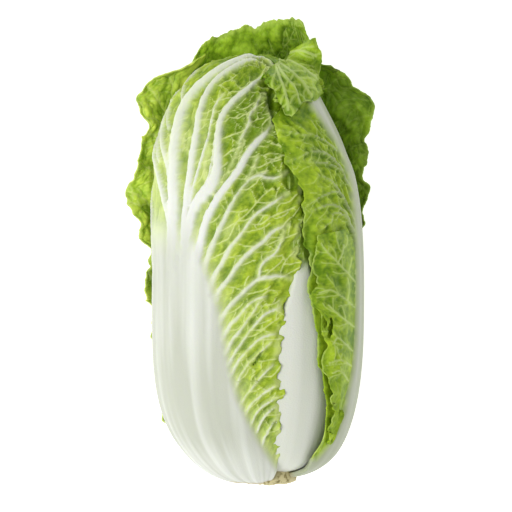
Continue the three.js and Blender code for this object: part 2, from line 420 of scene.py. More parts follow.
def grow(lines, inside, spacing, length, seed):
    """Side veins that leave each line on both sides and end where they meet another one."""
    rng = random.Random(seed)
    roots = [evenly(line, VEIN_STEP) for line in lines]
    taken = {}
    for number, path in enumerate(roots):
        taken.update({(int(x // CELL), int(y // CELL)): number for x, y in path})
    twigs = []
    for number, path in enumerate(roots):
        for side in (-1, 1):
            place = rng.uniform(0.3, 1.0) * spacing
            while place / VEIN_STEP < len(path) - 2:
                start = int(place / VEIN_STEP)
                place += spacing * rng.uniform(0.65, 1.4)
                ahead = path[start + 1] - path[start]
                off = math.radians(TWIG_TURN + rng.uniform(-14, 14))
                heading = math.atan2(ahead[1], ahead[0]) + side * off
                reach = length * rng.uniform(0.6, 1.3)
                bend = side * math.radians(0.6 * TWIG_TURN) * VEIN_STEP / reach
                x, y = path[start]
                twig = [(x, y)]
                own = (number, len(roots) + len(twigs))
                for k in range(int(reach / VEIN_STEP)):
                    heading += rng.gauss(0, WANDER) - bend
                    x, y = x + VEIN_STEP * math.cos(heading), y + VEIN_STEP * math.sin(heading)
                    if not inside(x, y):
                        break
                    twig.append((x, y))
                    i, j = int(x // CELL), int(y // CELL)
                    around = (taken.get((i + a, j + b), own[0]) for a in (-1, 0, 1) for b in (-1, 0, 1))
                    if k > 2 and any(owner not in own for owner in around):
                        break
                if len(twig) > SHORTEST:
                    taken.update({(int(a // CELL), int(b // CELL)): own[1] for a, b in twig})
                    twigs.append(np.array(twig))
    return twigs


def within(low_x, high_x, low_y, high_y):
    """A test for places inside a rectangle of a leaf's chart."""
    return lambda x, y: low_x < x < high_x and low_y < y < high_y


def vein_net(roots, kept, inside, side, fine, seeds):
    """Side veins off the roots, and fine ones off them and the kept lines, as (spacing, length)."""
    grown = grow(roots, inside, *side, seeds[0])
    return grown, grow(kept + grown, inside, *fine, seeds[1])


# %% [markdown]
# The distance from each grid point to the nearest vein, on the chart, is both the shape and the
# colour of the net: the shader draws a vein where the distance is small. The blade sags between
# veins on its outer face, and swells on its inner face, because both are sides of one sheet.

# %% Relief of the blade
FAR = 4.0
DOT_STEP = 0.3
LUMP_SIZE, CRUMPLE_SIZE = 15, 4.5
LUMP, CRUMPLE, CELL_SAG, SMALL_SAG, VEIN_RISE = 0.9, 0.45, 1.0, 0.5, 0.45


def distance_to(chart, lines):
    """Distance in millimetres from each point of a leaf's chart to the nearest line."""
    dots = np.concatenate([evenly(line, DOT_STEP) for line in lines])
    tree = kdtree.KDTree(len(dots))
    for number, (x, y) in enumerate(dots.tolist()):
        tree.insert((x, y, 0), number)
    tree.balance()
    found = [tree.find((x, y, 0))[2] for x, y in chart.reshape(-1, 2).tolist()]
    return np.array(found).reshape(chart.shape[:-1])


def blade_relief(points, chart, veins, twigs, seed, bulge=-1):
    """Height and traits of the blade. bulge is -1 where the cells sag, 1 where they swell."""
    second = distance_to(chart, veins)
    third = distance_to(chart, twigs + veins)
    cells = smoothstep(second, 0.3, 4.5)
    small = smoothstep(third, 0.2, 2.0)
    lumps = noise_on(points, LUMP_SIZE, 3, seed)
    crumple = noise_on(points, CRUMPLE_SIZE, 2, seed + 1)
    height = bulge * (CELL_SAG * cells + SMALL_SAG * small) + LUMP * lumps + CRUMPLE * crumple
    height = height + VEIN_RISE * bell(second / 0.8)
    # Painted light and shade: the tone is lighter where the blade rises and darker where it sinks.
    tone = 0.5 + 0.13 * bulge * (cells + 0.8 * small) + 0.28 * lumps + 0.3 * crumple
    return height, {"second": second / FAR, "third": third / FAR, "painted_light_and_shade": tone}


# %% [markdown]
# Several leaves also have folds, grooves in their white rib painted darker as shade, a dried base
# and a rim painted paler in patches, as light through the thin edge. Soft spots paint shade on the
# few places where a leaf dips under another, and pale the places where it bleaches.

# %% Folds, grooves and spots
FOLD_SIZE, FOLD_STRETCH = 4.0, 4.5


def folds_on(chart, bearing, seed):
    """Long soft folds that run at this bearing on the chart, in degrees from its x axis."""
    turn = math.radians(bearing)
    along = chart @ (math.cos(turn), math.sin(turn))
    across = chart @ (-math.sin(turn), math.cos(turn))
    return noise_on(np.stack([along / FOLD_STRETCH, across, 0 * across], axis=-1), FOLD_SIZE, 2, seed)


def grooves_on(angle, run, across, along, size, octaves, seed):
    """Soft grooves from the stem to the tip: noise on places that are squeezed by two factors."""
    places = np.broadcast_arrays(angle * across, run * along, 0.0)
    return noise_on(np.stack(places, axis=-1), size, octaves, seed)


def dried(run):
    """1 at the cut base of a leaf, where its skin has dried, and 0 further up."""
    return 1 - smoothstep(run, 18, 30)


def rim_light_patches(points, size, seed):
    """Patches along a torn rim: 1 where it is painted paler, as light through the thin edge, 0 where it keeps
    its green.
    """
    return smoothstep(noise_on(points, size, 2, seed), -0.3, 0.3)


def edge_at(py, edge):
    """How far right in the picture an edge lies at each of its rows."""
    return np.interp(py, [y for _, y in edge], [x for x, _ in edge])


def spots(px, py, places):
    """Soft spots on a leaf, each (x, y, half width, half height, strength) in picture pixels."""
    found = [strength * np.exp(-(((px - x) / width) ** 2) - ((py - y) / height) ** 2)
             for x, y, width, height, strength in places]
    return np.max(found, axis=0)


# %% [markdown]
# ## The front left leaf
# The largest leaf of the picture. Its rib fills the left half of the head as one broad white
# plate with soft grooves, then opens like a fan into separate ribs that bend over the crest. Side
# ribs leave it to the right, each thinner than the one above. All are given as curves, with half
# widths in millimetres. Ribs on the hidden left side are given as angle and distance instead.

# %% Ribs of the front left leaf
FAN = [
    ([(172, 262), (173, 230), (174, 200), (174.5, 175), (175, 149), (177, 126), (181, 109), (188, 95),
      (197, 84), (208, 74), (221, 65), (236, 57.5), (250, 52.5), (262, 51), (270, 54), (277, 61)],
     (5.8, 5.6, 5.2, 4.7, 4.2, 3.7, 3.1, 2.6, 2.0)),
    ([(184, 242), (184, 215), (186, 195), (189, 170), (192, 148), (195, 130), (198, 110), (204, 93),
      (213, 79.5), (225, 69), (241, 60), (257, 55), (267, 58), (274, 65)],
     (3.2, 3.0, 2.7, 2.4, 2.1, 1.8, 1.3)),
    ([(185, 256), (187, 235), (190, 217), (194.5, 204), (202, 194), (210.5, 184), (215, 171), (216.5, 153),
      (217, 134), (220, 118), (226, 107), (236.5, 96), (250, 84.5), (262, 73.5), (272, 63)],
     (3.4, 3.6, 4.3, 4.8, 3.6, 2.5, 2.2, 1.9, 1.6, 1.2)),
    ([(197, 262), (199, 245), (203, 226), (210, 209), (219, 194), (229.5, 180.5), (239, 168), (247, 154),
      (257, 141), (266, 132.5), (273, 123)], (3.2, 3.0, 2.7, 2.5, 2.3, 2.0, 1.3)),
    ([(188, 205), (192, 185), (199, 160), (206, 138), (210, 120), (214, 105), (222, 92)],
     (1.3, 1.0, 0.8, 0.5)),
    ([(203, 190), (208, 172), (211, 152), (214, 132)], (1.2, 0.7, 0.4)),
]
SIDE_RIBS = [
    ([(217.5, 189), (226, 172), (233, 159), (239, 147), (240, 140), (246, 129), (250, 119), (250.5, 113),
      (257, 104), (260, 97), (267, 89)], (0.5, 0.9, 1.1, 0.9, 0.6, 0.5)),
    ([(270, 92), (271.5, 103), (272.5, 113), (274, 123)], (0.5, 0.8, 0.9)),
    ([(247, 180), (252, 170), (258, 156)], (0.9, 0.5)),
    ([(247, 180), (258, 175.5), (269, 177), (280, 176), (290, 170)], (0.9, 0.8, 0.5)),
    ([(204, 272), (206, 260), (211, 246), (217, 232), (225, 216), (232, 202), (242, 187), (253, 177),
      (266, 172)], (2.4, 2.3, 1.9, 1.3, 0.7)),
    ([(210, 292), (214, 275), (222, 262), (230, 247), (240, 235), (254, 216), (270, 205), (290, 192)],
     (2.3, 2.0, 1.8, 1.4, 1.0, 0.6)),
    ([(215, 302), (219, 290), (227, 280), (240, 262), (252, 250), (263, 242), (274, 231), (290, 224)],
     (2.2, 2.0, 1.7, 1.2, 0.6)),
    ([(220, 322), (226, 310), (236, 299), (249, 287), (259, 279), (271, 277), (283, 276), (296, 279)],
     (2.0, 1.9, 1.5, 1.0, 0.5)),
    ([(259, 279), (261, 267), (268, 259), (276, 253), (283, 240), (287, 227)], (1.0, 0.8, 0.5)),
    ([(223, 338), (229, 326), (237, 318), (246, 307), (257, 299), (266, 297)], (1.8, 1.6, 1.1, 0.5)),
    ([(226, 353), (232, 340), (240, 331), (249, 318), (256, 308), (259, 300)], (1.7, 1.5, 1.0, 0.5)),
    ([(229, 364), (235, 352), (242, 342), (250, 331), (265, 315), (281, 308)], (1.6, 1.4, 1.0, 0.5)),
    ([(231, 376), (237, 363), (244, 354), (253, 345), (262, 338), (276, 334)], (1.5, 1.3, 0.9, 0.5)),
    ([(235, 391), (239, 378), (244, 370), (250, 362), (258, 355), (271, 343)], (1.4, 1.2, 0.8, 0.4)),
    ([(241, 405), (246, 396), (252, 389), (262, 377), (274, 366)], (1.3, 1.1, 0.8, 0.4)),
    ([(246, 414), (251, 405), (258, 399), (267, 392), (278, 386)], (1.2, 1.0, 0.7, 0.4)),
    ([(252, 424), (257, 414), (264, 407), (278, 399)], (1.1, 0.9, 0.6, 0.4)),
    ([(257, 434), (261, 425), (267, 416), (278, 408)], (1.0, 0.8, 0.4)),
    ([(263, 446), (267, 436), (273, 427), (279, 421)], (0.9, 0.7, 0.4)),
]
HIDDEN_RIBS = [
    ([(138, 200), (145, 229), (148, 247), (152, 265), (164, 284), (172, 300)], (2.6, 2.3, 2.0, 1.2)),
    ([(141, 200), (150, 229), (157, 247), (166, 265), (175, 282)], (2.8, 2.6, 2.1, 1.2)),
    ([(158, 184), (167, 205), (178, 228), (191, 250)], (1.8, 1.3, 0.6)),
    ([(168, 176), (177, 194), (187, 212), (198, 230)], (1.6, 1.2, 0.6)),
    ([(178, 166), (187, 182), (197, 196)], (1.4, 0.6)),
    ([(158, 262), (168, 280), (179, 296), (190, 308)], (1.3, 0.5)),
    ([(156, 286), (168, 302), (184, 318)], (1.1, 0.4)),
    ([(148, 306), (164, 322), (182, 336)], (1.0, 0.4)),
]

# %% [markdown]
# The clearest of its thinner veins are listed as well, and so are the edge of the white plate and
# the torn right margin. The rest of the net is grown between them. Hollows and pits are the dark
# gaps beside the leaves that lie over this one.

# %% Veins and edges of the front left leaf
TWIGS = [
    [(178, 150), (182, 140), (187, 136), (192, 134)],
    [(197, 120), (205, 118), (213, 119), (219, 124)],
    [(205, 92), (211, 98), (214, 108), (221, 116)],
    [(214, 82), (222, 84), (230, 92), (232, 100)],
    [(228, 72), (234, 78), (238, 84), (246, 86)],
    [(232, 101), (238, 106), (247, 105), (256, 98)],
    [(224, 113), (234, 116), (246, 112), (258, 103), (268, 96)],
    [(220, 138), (230, 134), (238, 131), (246, 128), (254, 118), (266, 113)],
    [(222, 156), (231, 149), (240, 146), (246, 138)],
    [(243, 128), (243, 142), (241, 155), (243, 163)],
    [(227, 169), (228, 175), (230, 180)],
    [(276, 127), (287, 132), (295, 134)],
    [(270, 137), (280, 142), (289, 140), (295, 134), (306, 134), (318, 130)],
    [(234, 178), (246, 178), (258, 172), (270, 168)],
    [(244, 163), (258, 166), (270, 160), (284, 156)],
    [(254, 148), (264, 154), (274, 156), (284, 153)],
    [(264, 137), (274, 141), (284, 140), (296, 138)],
    [(274, 128), (284, 133), (296, 134), (308, 132)],
    [(226, 206), (224, 194), (230, 184)],
    [(228, 236), (236, 222), (248, 212), (262, 196), (274, 186)],
    [(248, 222), (260, 224), (272, 216), (284, 211), (298, 205)],
    [(256, 242), (268, 244), (278, 240), (290, 236), (300, 232)],
    [(283, 277), (284, 268), (290, 258), (298, 250)],
    [(248, 312), (258, 314), (264, 306), (276, 304), (282, 300)],
    [(250, 330), (262, 330), (272, 324), (281, 318)],
    [(246, 354), (248, 366), (256, 372)],
    [(260, 388), (268, 392), (276, 388)],
]
WHITE_EDGE = [(200, 205), (197, 222), (196, 236), (201, 252), (208, 270), (216, 292), (222, 312), (228, 350),
              (234, 378), (241, 400), (250, 420), (262, 442), (272, 458), (281, 472)]
RIGHT_EDGE = [(318, 96), (318, 120), (316, 150), (312, 175), (309, 190), (307, 215), (305, 235), (302, 254),
              (304.5, 265), (304.5, 280), (301, 292.5), (291, 297.5), (287, 304), (287, 320), (287.5, 336),
              (284.5, 344), (281.5, 360), (283, 372), (278.5, 380), (286, 385), (287, 396), (284, 412),
              (283, 431), (283.5, 455), (281, 470)]
SLOT = [(258.5, 359, 8, 1.8, 55)]
PIT = (1.5, 2.4, 0.8)
PITS = [(255, 117, *PIT), (254, 108, *PIT), (265, 192, *PIT), (261, 195, *PIT), (278, 188, *PIT),
        (262, 240, *PIT)]
LEFT_HOLLOWS = [(274, 99, 4, 11, 1.8), (295, 177, 4, 7, 0.9)]
PALE_STREAK = [(204, 182, 10, 40, 1.0)]
PALE_PATCH = [(226, 228, 14, 26, 0.6)]
LEAF_START, LEFT_TOP, RIGHT_TOP = 16, 371, 368

# %% [markdown]
# The grid runs from the stump to the crest, with finer columns where the camera looks at it. The
# right margin follows the torn edge with small teeth. Near this margin the leaf dives under the
# right leaf. Its outermost ribs stand out of the head at the left, and its base hangs a little
# below the others, beside the stump.

# %% Points of the front left leaf
BULGE_RUNS = (190, 208, 236, 250, 264, 278, 286, 300, 324)
BULGE = (0, 2, 4.5, 5.5, 6, 4, 2.5, 1, 0)

left_runs = mix(LEAF_START, LEFT_TOP, np.linspace(0, 1, 336))
left_columns = spaced((0.40, 38), (1.0, 94))
left_angles = np.interp(left_runs, [26, 62, 124, 186, 248, 310, 372], [210, 207, 205, 196, 194, 193, 188])
right_angles = mix(76, edge_angles(RIGHT_EDGE, left_runs), smoothstep(left_runs, 30, 62))
right_angles = right_angles + 1.6 * ragged(left_runs, 5, 7.1) * smoothstep(left_runs, 40, 80)


def left_bulge(angle, run):
    """How far the outermost ribs at the left stand out of the head, in millimetres."""
    return np.interp(run, BULGE_RUNS, BULGE) * smoothstep(angle, 125, 168)


run = left_runs[:, None]
angle = mix(left_angles[:, None], right_angles[:, None], left_columns[None, :])
depth = 2.2 * (1 - smoothstep(angle, 70, 100))
left_points = head_point(CLOSED, angle, run, depth, left_bulge(angle, run))
left_points[..., 1] -= 3.5 * (1 - smoothstep(run, 18, 70))
left_chart = unrolled(angle, run)
left_grooves = grooves_on(angle, run, 1.15, 0.05, 9, 3, 4.0)
px, py = seen_at(left_points)
print(f"front left leaf: margins at {left_angles.max():.0f} and {right_angles.min():.0f} degrees")

# %% [markdown]
# Ribs are sunk a little, so that they are half in the sheet. The fan is white, and the side ribs
# are greener, because they are thin enough to let the blade show through.

# %% Ribs and veins of the front left leaf
def front_line(pixels, sink=0.0, count=60):
    """A smooth curve on the head's front through these pixels, sunk by this many millimetres."""
    return on_front(soft_curve(pixels, count)) - (0, 0, sink)


def hidden_line(places):
    """A smooth curve on the head through these angles and distances."""
    angle, run = soft_curve(places, 40).T
    return head_point(CLOSED, angle, run, 0, left_bulge(angle, run))


ribs = [(front_line(line, 0.5), widths, 1.0) for line, widths in FAN]
ribs += [(front_line(line, 1.2), widths, 0.67) for line, widths in SIDE_RIBS]
ribs += [(hidden_line(line), widths, 0.85) for line, widths in HIDDEN_RIBS]
rib_height, rib_white, halo, crease = ribs_on(left_points, ribs)

plate_x, plate_run = on_chart(WHITE_EDGE, 100)[::-1].T
rib_lines = [on_chart(line) for line, _ in FAN + SIDE_RIBS]
rib_lines += [unrolled(*soft_curve(line, 40).T) for line, _ in HIDDEN_RIBS]
drawn = [on_chart(line) for line in TWIGS]


def on_left_blade(x, y):
    """True beside the white plate, and everywhere above it, up to the leaf's hidden margin."""
    margin = -HEAD_RADIUS * math.radians(205)
    return 45 < y < LEFT_TOP and margin < x < 0 and x > np.interp(y, plate_run, plate_x, right=margin) - 2


roots = rib_lines + drawn
grown, fine = vein_net(roots, roots, on_left_blade, (14, 17), (4.5, 6), (5, 6))
print(f"front left leaf: {len(ribs)} ribs, {len(grown)} side veins, {len(fine)} fine ones")

# %% [markdown]
# The white plate fades out upwards between the ribs of the fan. The blade beside it is pale. The
# blade lies lower than the plate, in long folds that follow the ribs, and it dips into shadow under
# the margins of the right leaf. The depths are in millimetres.

# %% Relief of the front left leaf
LEFT_SINK, LEFT_FOLD, LEFT_CREASE, LEFT_HOLLOW = 2.4, 1.4, 1.1, 3.5

bumps, traits = blade_relief(left_points, left_chart, drawn + grown, fine, 2.0)
upright = folds_on(left_chart, 84, 3.0)
slanted = folds_on(left_chart, 50, 5.0)
folds = mix(upright, slanted, smoothstep(px, 205, 240))
edge = edge_at(py, WHITE_EDGE)
low = smoothstep(py, 200, 262)
low_side = smoothstep(py + 30 * left_grooves, 165, 250)
plate = np.where(left_points[..., 2] < AXIS_HEIGHT, low_side, smoothstep(edge - px, -2, 8) * low)
pale = np.exp(-np.maximum(px - edge, 0) / 12) * smoothstep(py, 190, 240)
between = (1 - smoothstep(px, 200, 226)) * smoothstep(py, 60, 150) * (1 - low)
pale = np.maximum(pale, 0.95 * between * (0.8 + 0.5 * upright))
pale = np.maximum(pale, spots(px, py, PALE_STREAK) * (0.9 + 0.5 * upright))
pale = np.maximum(pale, spots(px, py, PALE_PATCH))
upper = mix(0.3, 1, smoothstep(py, 80, 115)) * (1 - smoothstep(py, 110, 240)) * smoothstep(px, 218, 238)
# Painted shade: the hollows and pits beside the leaves that lie over this one are darkened in colour as well
# as sunk.
shade = spots(px, py, LEFT_HOLLOWS + PITS)

blade = 1 - np.maximum(plate, rib_white)
calm = 1 - 0.6 * smoothstep(pale, 0.4, 0.9)
sunk = mix(-LEFT_SINK, -LEFT_SINK / 3, smoothstep(angle, 135, 165))
height = (bumps + LEFT_FOLD * folds) * calm - 1.2 * (1 - halo)
height = height - LEFT_CREASE * crease - LEFT_HOLLOW * shade
height = mix(sunk + rib_height + blade * height, 0.6 * left_grooves + 0.25 * rib_height, plate)
tinted = 1 - 0.3 * (1 - smoothstep(py, 90, 230))
traits["white"] = np.maximum(plate, rib_white * tinted)
traits["halo"] = np.maximum(np.maximum(halo * 0.7, plate), pale * 0.8)
# Painted shade: the tone is darker in the creases beside the ribs and in the hollows and pits, and lighter on
# the crests of the folds. It is also darker up between the side ribs.
traits["painted_light_and_shade"] += 0.28 * folds - 0.35 * crease - 0.5 * shade
traits["painted_light_and_shade"] += 0.12 * smoothstep(py, 240, 300) - 0.52 * upper
# Painted light and shade on the white plate: darker in its grooves and further down, lighter again at the
# base. It is also darker at the far left.
plate_tone = 0.6 - 0.6 * left_grooves + 0.25 * smoothstep(py, 320, 400)
plate_tone += 0.35 * (1 - smoothstep(px, 156, 190)) - 0.4 * smoothstep(py, 430, 470)
traits["groove"] = plate_tone * plate
# Painted light: patches of the torn right margin are paler, as light through the thin edge.
traits["rim"] = smoothstep(left_columns, 0.95, 0.985)[None, :] * rim_light_patches(left_points, 12, 9)
traits["dry"] = dried(run)

# %% [markdown]
# A narrow slot between its lower side ribs is nearly torn: the blade folds in there, and its colour is
# painted dark, as shade.

# %% The front left leaf
def in_slots(px, py, slots):
    """True inside slots, each of them (x, y, half length, half width, bearing) in pixels."""
    inside = np.zeros(px.shape, bool)
    for x, y, length, width, bearing in slots:
        turn = math.radians(bearing)
        a = (px - x) * math.cos(turn) - (py - y) * math.sin(turn)
        b = (px - x) * math.sin(turn) + (py - y) * math.cos(turn)
        inside |= (a / length) ** 2 + (b / width) ** 2 < 1
    return inside


slot = in_slots(px, py, SLOT)
height = height - 2.6 * slot
traits["painted_light_and_shade"] = traits["painted_light_and_shade"] - 0.9 * slot
traits["second"] = np.where(slot, 1, traits["second"])
left_points = raised(left_points, height)
thickness = mix(BLADE_THICKNESS, 3.0, np.maximum(plate, 0.5 * rib_white))
front_left = make_sheet("front_left_leaf_sheet", "front_left_leaf", left_points, traits, thickness)
leaves = {"front_left": front_left}

# %% [markdown]
# ## The right leaf
# Its white rib is the right edge of the head. The blade lies over the front left leaf at the
# top. Lower down its margin is folded outwards into a lighter lobe with a torn edge, which is a
# second sheet that grows out of the same rib.

# %% Veins and edges of the right leaf
RIGHT_VEINS = [
    ([(358, 240), (355, 221), (350, 205), (342, 192), (336, 184), (329, 178), (318, 174)], (1.2, 0.5)),
    ([(343, 193), (337, 191), (328, 194), (320, 198), (312, 203), (305, 208)], (0.7, 0.4)),
    ([(358, 246), (356, 232), (348, 214), (339, 206), (329, 205), (320, 208), (309, 212)], (1.1, 0.4)),
    ([(357, 250), (356, 236), (350, 220), (342, 213), (335, 214), (332, 222), (320, 232)], (0.9, 0.4)),
    ([(354, 192), (348, 179), (343, 168), (333, 156), (323, 150), (312, 147)], (1.0, 0.4)),
    ([(338, 150), (328, 141), (316, 134), (304, 134), (292, 131), (278, 128)], (0.6, 0.4)),
    ([(336, 158), (326, 152), (312, 151), (300, 157), (288, 160)], (0.6, 0.4)),
    ([(344, 170), (334, 164), (325, 162), (312, 162), (300, 160)], (0.6, 0.3)),
]
RIGHT_WHITE = [(306, 95), (312, 107), (322, 121), (335, 141), (345, 162), (351, 185), (354, 210), (356, 245),
               (356, 300), (355, 340), (352, 372), (347, 394), (344, 412), (337, 431), (329, 445), (317, 459),
               (306, 471)]
BLADE_EDGE = [(296, 92), (284, 105), (276, 116), (277, 128), (281, 141), (286, 152), (287, 162), (294, 171),
              (301, 184), (305, 196), (305, 215), (305, 230), (308, 240), (311, 255), (312, 268), (311, 280),
              (309, 291), (313, 305), (317, 318), (320, 334), (321, 345), (320, 362), (325, 378), (328, 392),
              (329, 410), (328, 428), (324, 444), (314, 459), (304, 472)]
RIGHT_HOLLOWS = [(310, 246, 5, 20, 1.0), (316, 136, 9, 4, 0.4)]

# %% [markdown]
# The blade's left margin is torn, and its right margin is hidden below the head, where it meets
# the loose leaves.

# %% Points of the right leaf
right_runs = mix(LEAF_START, RIGHT_TOP, np.linspace(0, 1, 316))
right_columns = spaced((0.02, 2), (0.62, 66), (1.0, 24))
teeth = ragged(right_runs, 6, 4.3)
inner = mix(38, edge_angles(BLADE_EDGE, right_runs), smoothstep(right_runs, 30, 58))
inner = inner + 1.8 * teeth * smoothstep(right_runs, 70, 100)
outer = np.interp(right_runs, [26, 60, 120, 180, 240, 300, 364], [-25, -30, -30, -24, -22, -22, -10])
outer = outer + 1.5 * teeth[::-1]

run = right_runs[:, None]
angle = mix(inner[:, None], outer[:, None], right_columns[None, :])
right_points = head_point(CLOSED, angle, run, 0)
right_chart = unrolled(angle, run)
px, py = seen_at(right_points)

# %% [markdown]
# Its side ribs leave the white rib and arch to the left. Those that show are listed, and the net
# grows from them and from the edge of the white rib.

# %% Ribs and veins of the right leaf
ribs = [(front_line(line, 0.5), widths, 0.5) for line, widths in RIGHT_VEINS]
rib_height, rib_white, halo, crease = ribs_on(right_points, ribs)
white_x, white_run = on_chart(RIGHT_WHITE, 100)[::-1].T


def on_right_blade(x, y):
    """True on the blade, from the front of the head to just inside the white rib."""
    return 45 < y < RIGHT_TOP and -HEAD_RADIUS * math.radians(90) < x < np.interp(y, white_run, white_x) + 2


lines = [on_chart(line) for line, _ in RIGHT_VEINS]
rib_side = np.stack([white_x, white_run], axis=-1)
grown, fine = vein_net(lines + [rib_side], lines, on_right_blade, (11, 16), (4.2, 6), (15, 16))
print(f"right leaf: {len(ribs)} ribs, {len(grown)} side veins, {len(fine)} fine ones")

# %% [markdown]
# Between the margin and the folded lobe the blade turns down into a groove, painted dark as shade. At
# the top its margin dips onto the leaf below. The depths are in millimetres.

# %% The right leaf
RIGHT_SINK, RIGHT_FOLD, RIGHT_CREASE, RIGHT_HOLLOW, MARGIN_DIP = 1.5, 0.8, 0.8, 3.0, 2.0

bumps, traits = blade_relief(right_points, right_chart, grown, fine, 6.0)
folds = folds_on(right_chart, 140, 12.0)
edge = edge_at(py, RIGHT_WHITE)
below = 1 - smoothstep(run, 318, 340)
plate = np.where(right_points[..., 2] < AXIS_HEIGHT, below, smoothstep(px - edge, -1.5, 4.5))
plate = np.maximum(plate * smoothstep(angle, -27, -17), smoothstep(py, 456, 464))
grooves = grooves_on(angle, run, 1.1, 0.04, 9, 3, 8.0)
shade = spots(px, py, RIGHT_HOLLOWS)
margin = np.minimum(right_columns / 0.12, 1)[None, :]

blade = 1 - np.maximum(plate, rib_white)
height = margin * (bumps + RIGHT_FOLD * folds) - 0.6 * (1 - halo)
height = height - RIGHT_CREASE * crease - RIGHT_HOLLOW * shade
dips = (1 - smoothstep(right_columns, 0, 0.14))[None, :] * (1 - smoothstep(py, 160, 185))
height = mix(rib_height - RIGHT_SINK + blade * (height - MARGIN_DIP * dips), 0.5 * grooves, plate)
right_points = raised(right_points, height)
traits["white"] = np.maximum(plate, rib_white)
traits["halo"] = np.maximum(halo * 0.3, plate)
# Painted shade: the tone is darker in the creases and hollows and lighter on the crests of the folds. It is
# also lighter further down.
traits["painted_light_and_shade"] += 0.15 * folds - 0.3 * crease - 0.45 * shade + 0.15 * smoothstep(py, 150, 190)
traits["painted_light_and_shade"] += 0.15 * smoothstep(py, 290, 340)
# Painted shade on the white rib: darker in its grooves and towards the base.
traits["groove"] = 0.6 - 0.6 * grooves + 0.2 * smoothstep(py, 400, 478)
# Painted light: the torn margin is paler in patches below the top, where it lifts, as light through the thin
# edge.
traits["rim"] = (1 - smoothstep(right_columns, 0.0, 0.03))[None, :] * smoothstep(py, 145, 175)
traits["rim"] = traits["rim"] * rim_light_patches(right_points, 12, 3)
traits["dry"] = dried(run)
thickness = mix(BLADE_THICKNESS, 3.2, plate)
leaves["right"] = make_sheet("right_leaf_sheet", "right_leaf", right_points, traits, thickness)

# %% [markdown]
# ## Folded parts
# Two parts of the front leaves are folded over: the lobe of the right leaf, and the tip of the
# front left leaf, which drapes over the crest. Cloth simulation could drape them, but their edges
# are known from the photograph. So a fold is a patch between two curves, the one it grows from
# and its free edge, relaxed in height and laid a little above the head's surface.

# %% A patch between two curves
def normals_up(points):
    """Normals of a grid, turned to the side that faces the camera."""
    n = normals_of(points)
    return n * np.where(n[..., 2:] < 0, -1, 1)


def patch(root, tip, lift, rows, columns):
    """Points from the root curve to the tip curve, lifted off the head's surface."""
    v = np.linspace(0, 1, columns)
    u = np.linspace(0, 1, rows)
    pixels = mix(soft_curve(root, rows)[:, None, :], soft_curve(tip, rows)[:, None, :], v[None, :, None])
    points = on_front(pixels.reshape(-1, 2)).reshape(rows, columns, 3)
    z = points[..., 2]
    for _ in range(30):
        z[1:-1, 1:-1] = (z[:-2, 1:-1] + z[2:, 1:-1] + z[1:-1, :-2] + z[1:-1, 2:]) / 4
    return points + normals_up(points) * lift(u[:, None], v[None, :])[..., None]


# %% [markdown]
# The free edge of a fold is torn and waves up and down. Its chart is the picture itself, because
# it faces the camera.

# %% A folded piece
def fold_piece(name, node, points, veins, seed, ruffle, tone, slots=()):
    """A folded part: veins and puckers on a patch, and a rim that waves up and down."""
    rows, columns = points.shape[:2]
    v = np.linspace(0, 1, columns)[None, :]
    out = points[:, -1] - points[:, -4]
    out = out / np.maximum(np.linalg.norm(out, axis=1, keepdims=True), 1e-6)
    points = points + out[:, None, :] * (1.3 * ragged(range(rows), 6, seed)[:, None] * v**4)[..., None]
    normal = normals_up(points)
    chart = np.stack(seen_at(points), axis=-1) * PIXEL
    (low_x, low_y), (high_x, high_y) = chart.min((0, 1)), chart.max((0, 1))
    lines = [soft_curve(vein, 60) * PIXEL for vein in veins]
    grown, fine = vein_net(lines, lines, within(low_x, high_x, low_y, high_y), (9, 14), (4, 6),
                           (7 * seed, 9 * seed))
    main = distance_to(chart, lines)
    bumps, traits = blade_relief(points, chart, lines + grown, fine, seed)
    waves = noise_on(points, 9, 2, seed + 4)
    height = 0.6 * bell(main / 0.8) + bumps * smoothstep(v, 0.05, 0.5)
    height = height + ruffle * waves * smoothstep(v, 0.4, 1)
    px, py = seen_at(points)
    points = points + normal * height[..., None]
    traits["white"] = 0.15 * bell(main / 0.5)
    traits["halo"] = 0.4 * bell(main / 0.8)
    # Painted light and shade: the tone follows the ruffles and adds the fold's own painted shade, and the rim
    # is paler in patches, as light through the thin edge.
    traits["painted_light_and_shade"] += 0.25 * waves + tone
    traits["rim"] = smoothstep(v, 0.95, 1.0) * rim_light_patches(points, 10, seed)
    flipped = {trait: values[:, ::-1] for trait, values in traits.items()}
    flipped.update(groove=0.0, dry=0.0)
    torn = in_slots(px, py, slots)[:, ::-1]
    thickness = np.full((rows, columns), LOOSE_THICKNESS)
    return make_sheet(name, node, points[:, ::-1], flipped, thickness, torn=torn)


# %% [markdown]
# The lobe hangs from the right leaf's rib and covers the lower half of its blade. Its margin has
# deep tears, and two slots go right through it. It is painted darker at its top, as shade in the fold.

# %% The lobe of the right leaf
LOBE_ROOT = [(329, 447), (337, 434), (342, 420), (345, 403), (350, 384), (354, 360), (356, 330),
             (357, 290), (357, 262), (355, 243), (347, 229)]
LOBE_EDGE = [(327, 449), (330, 440), (328, 430), (331, 421), (335, 411), (330, 402),
             (332, 391), (326, 376), (321, 366), (326, 344), (320, 334), (321, 315), (312, 304), (310, 293),
             (316, 286), (316, 277), (312, 268), (314, 257), (315, 246), (317, 235)]
LOBE_VEINS = [
    [(355, 282), (344, 270), (336, 261), (327, 253), (320, 243)],
    [(338, 262), (342, 254), (343, 245)],
    [(355, 308), (342, 297), (330, 290), (319, 293)],
    [(354, 327), (343, 319), (336, 313), (328, 305)],
    [(352, 351), (344, 343), (337, 338), (332, 344)],
    [(351, 366), (340, 360), (329, 363)],
    [(348, 381), (340, 371), (332, 373)],
]
LOBE_TEARS = [(331, 328, 10, 1.9, 80), (325.5, 322, 5, 1.6, 100)]


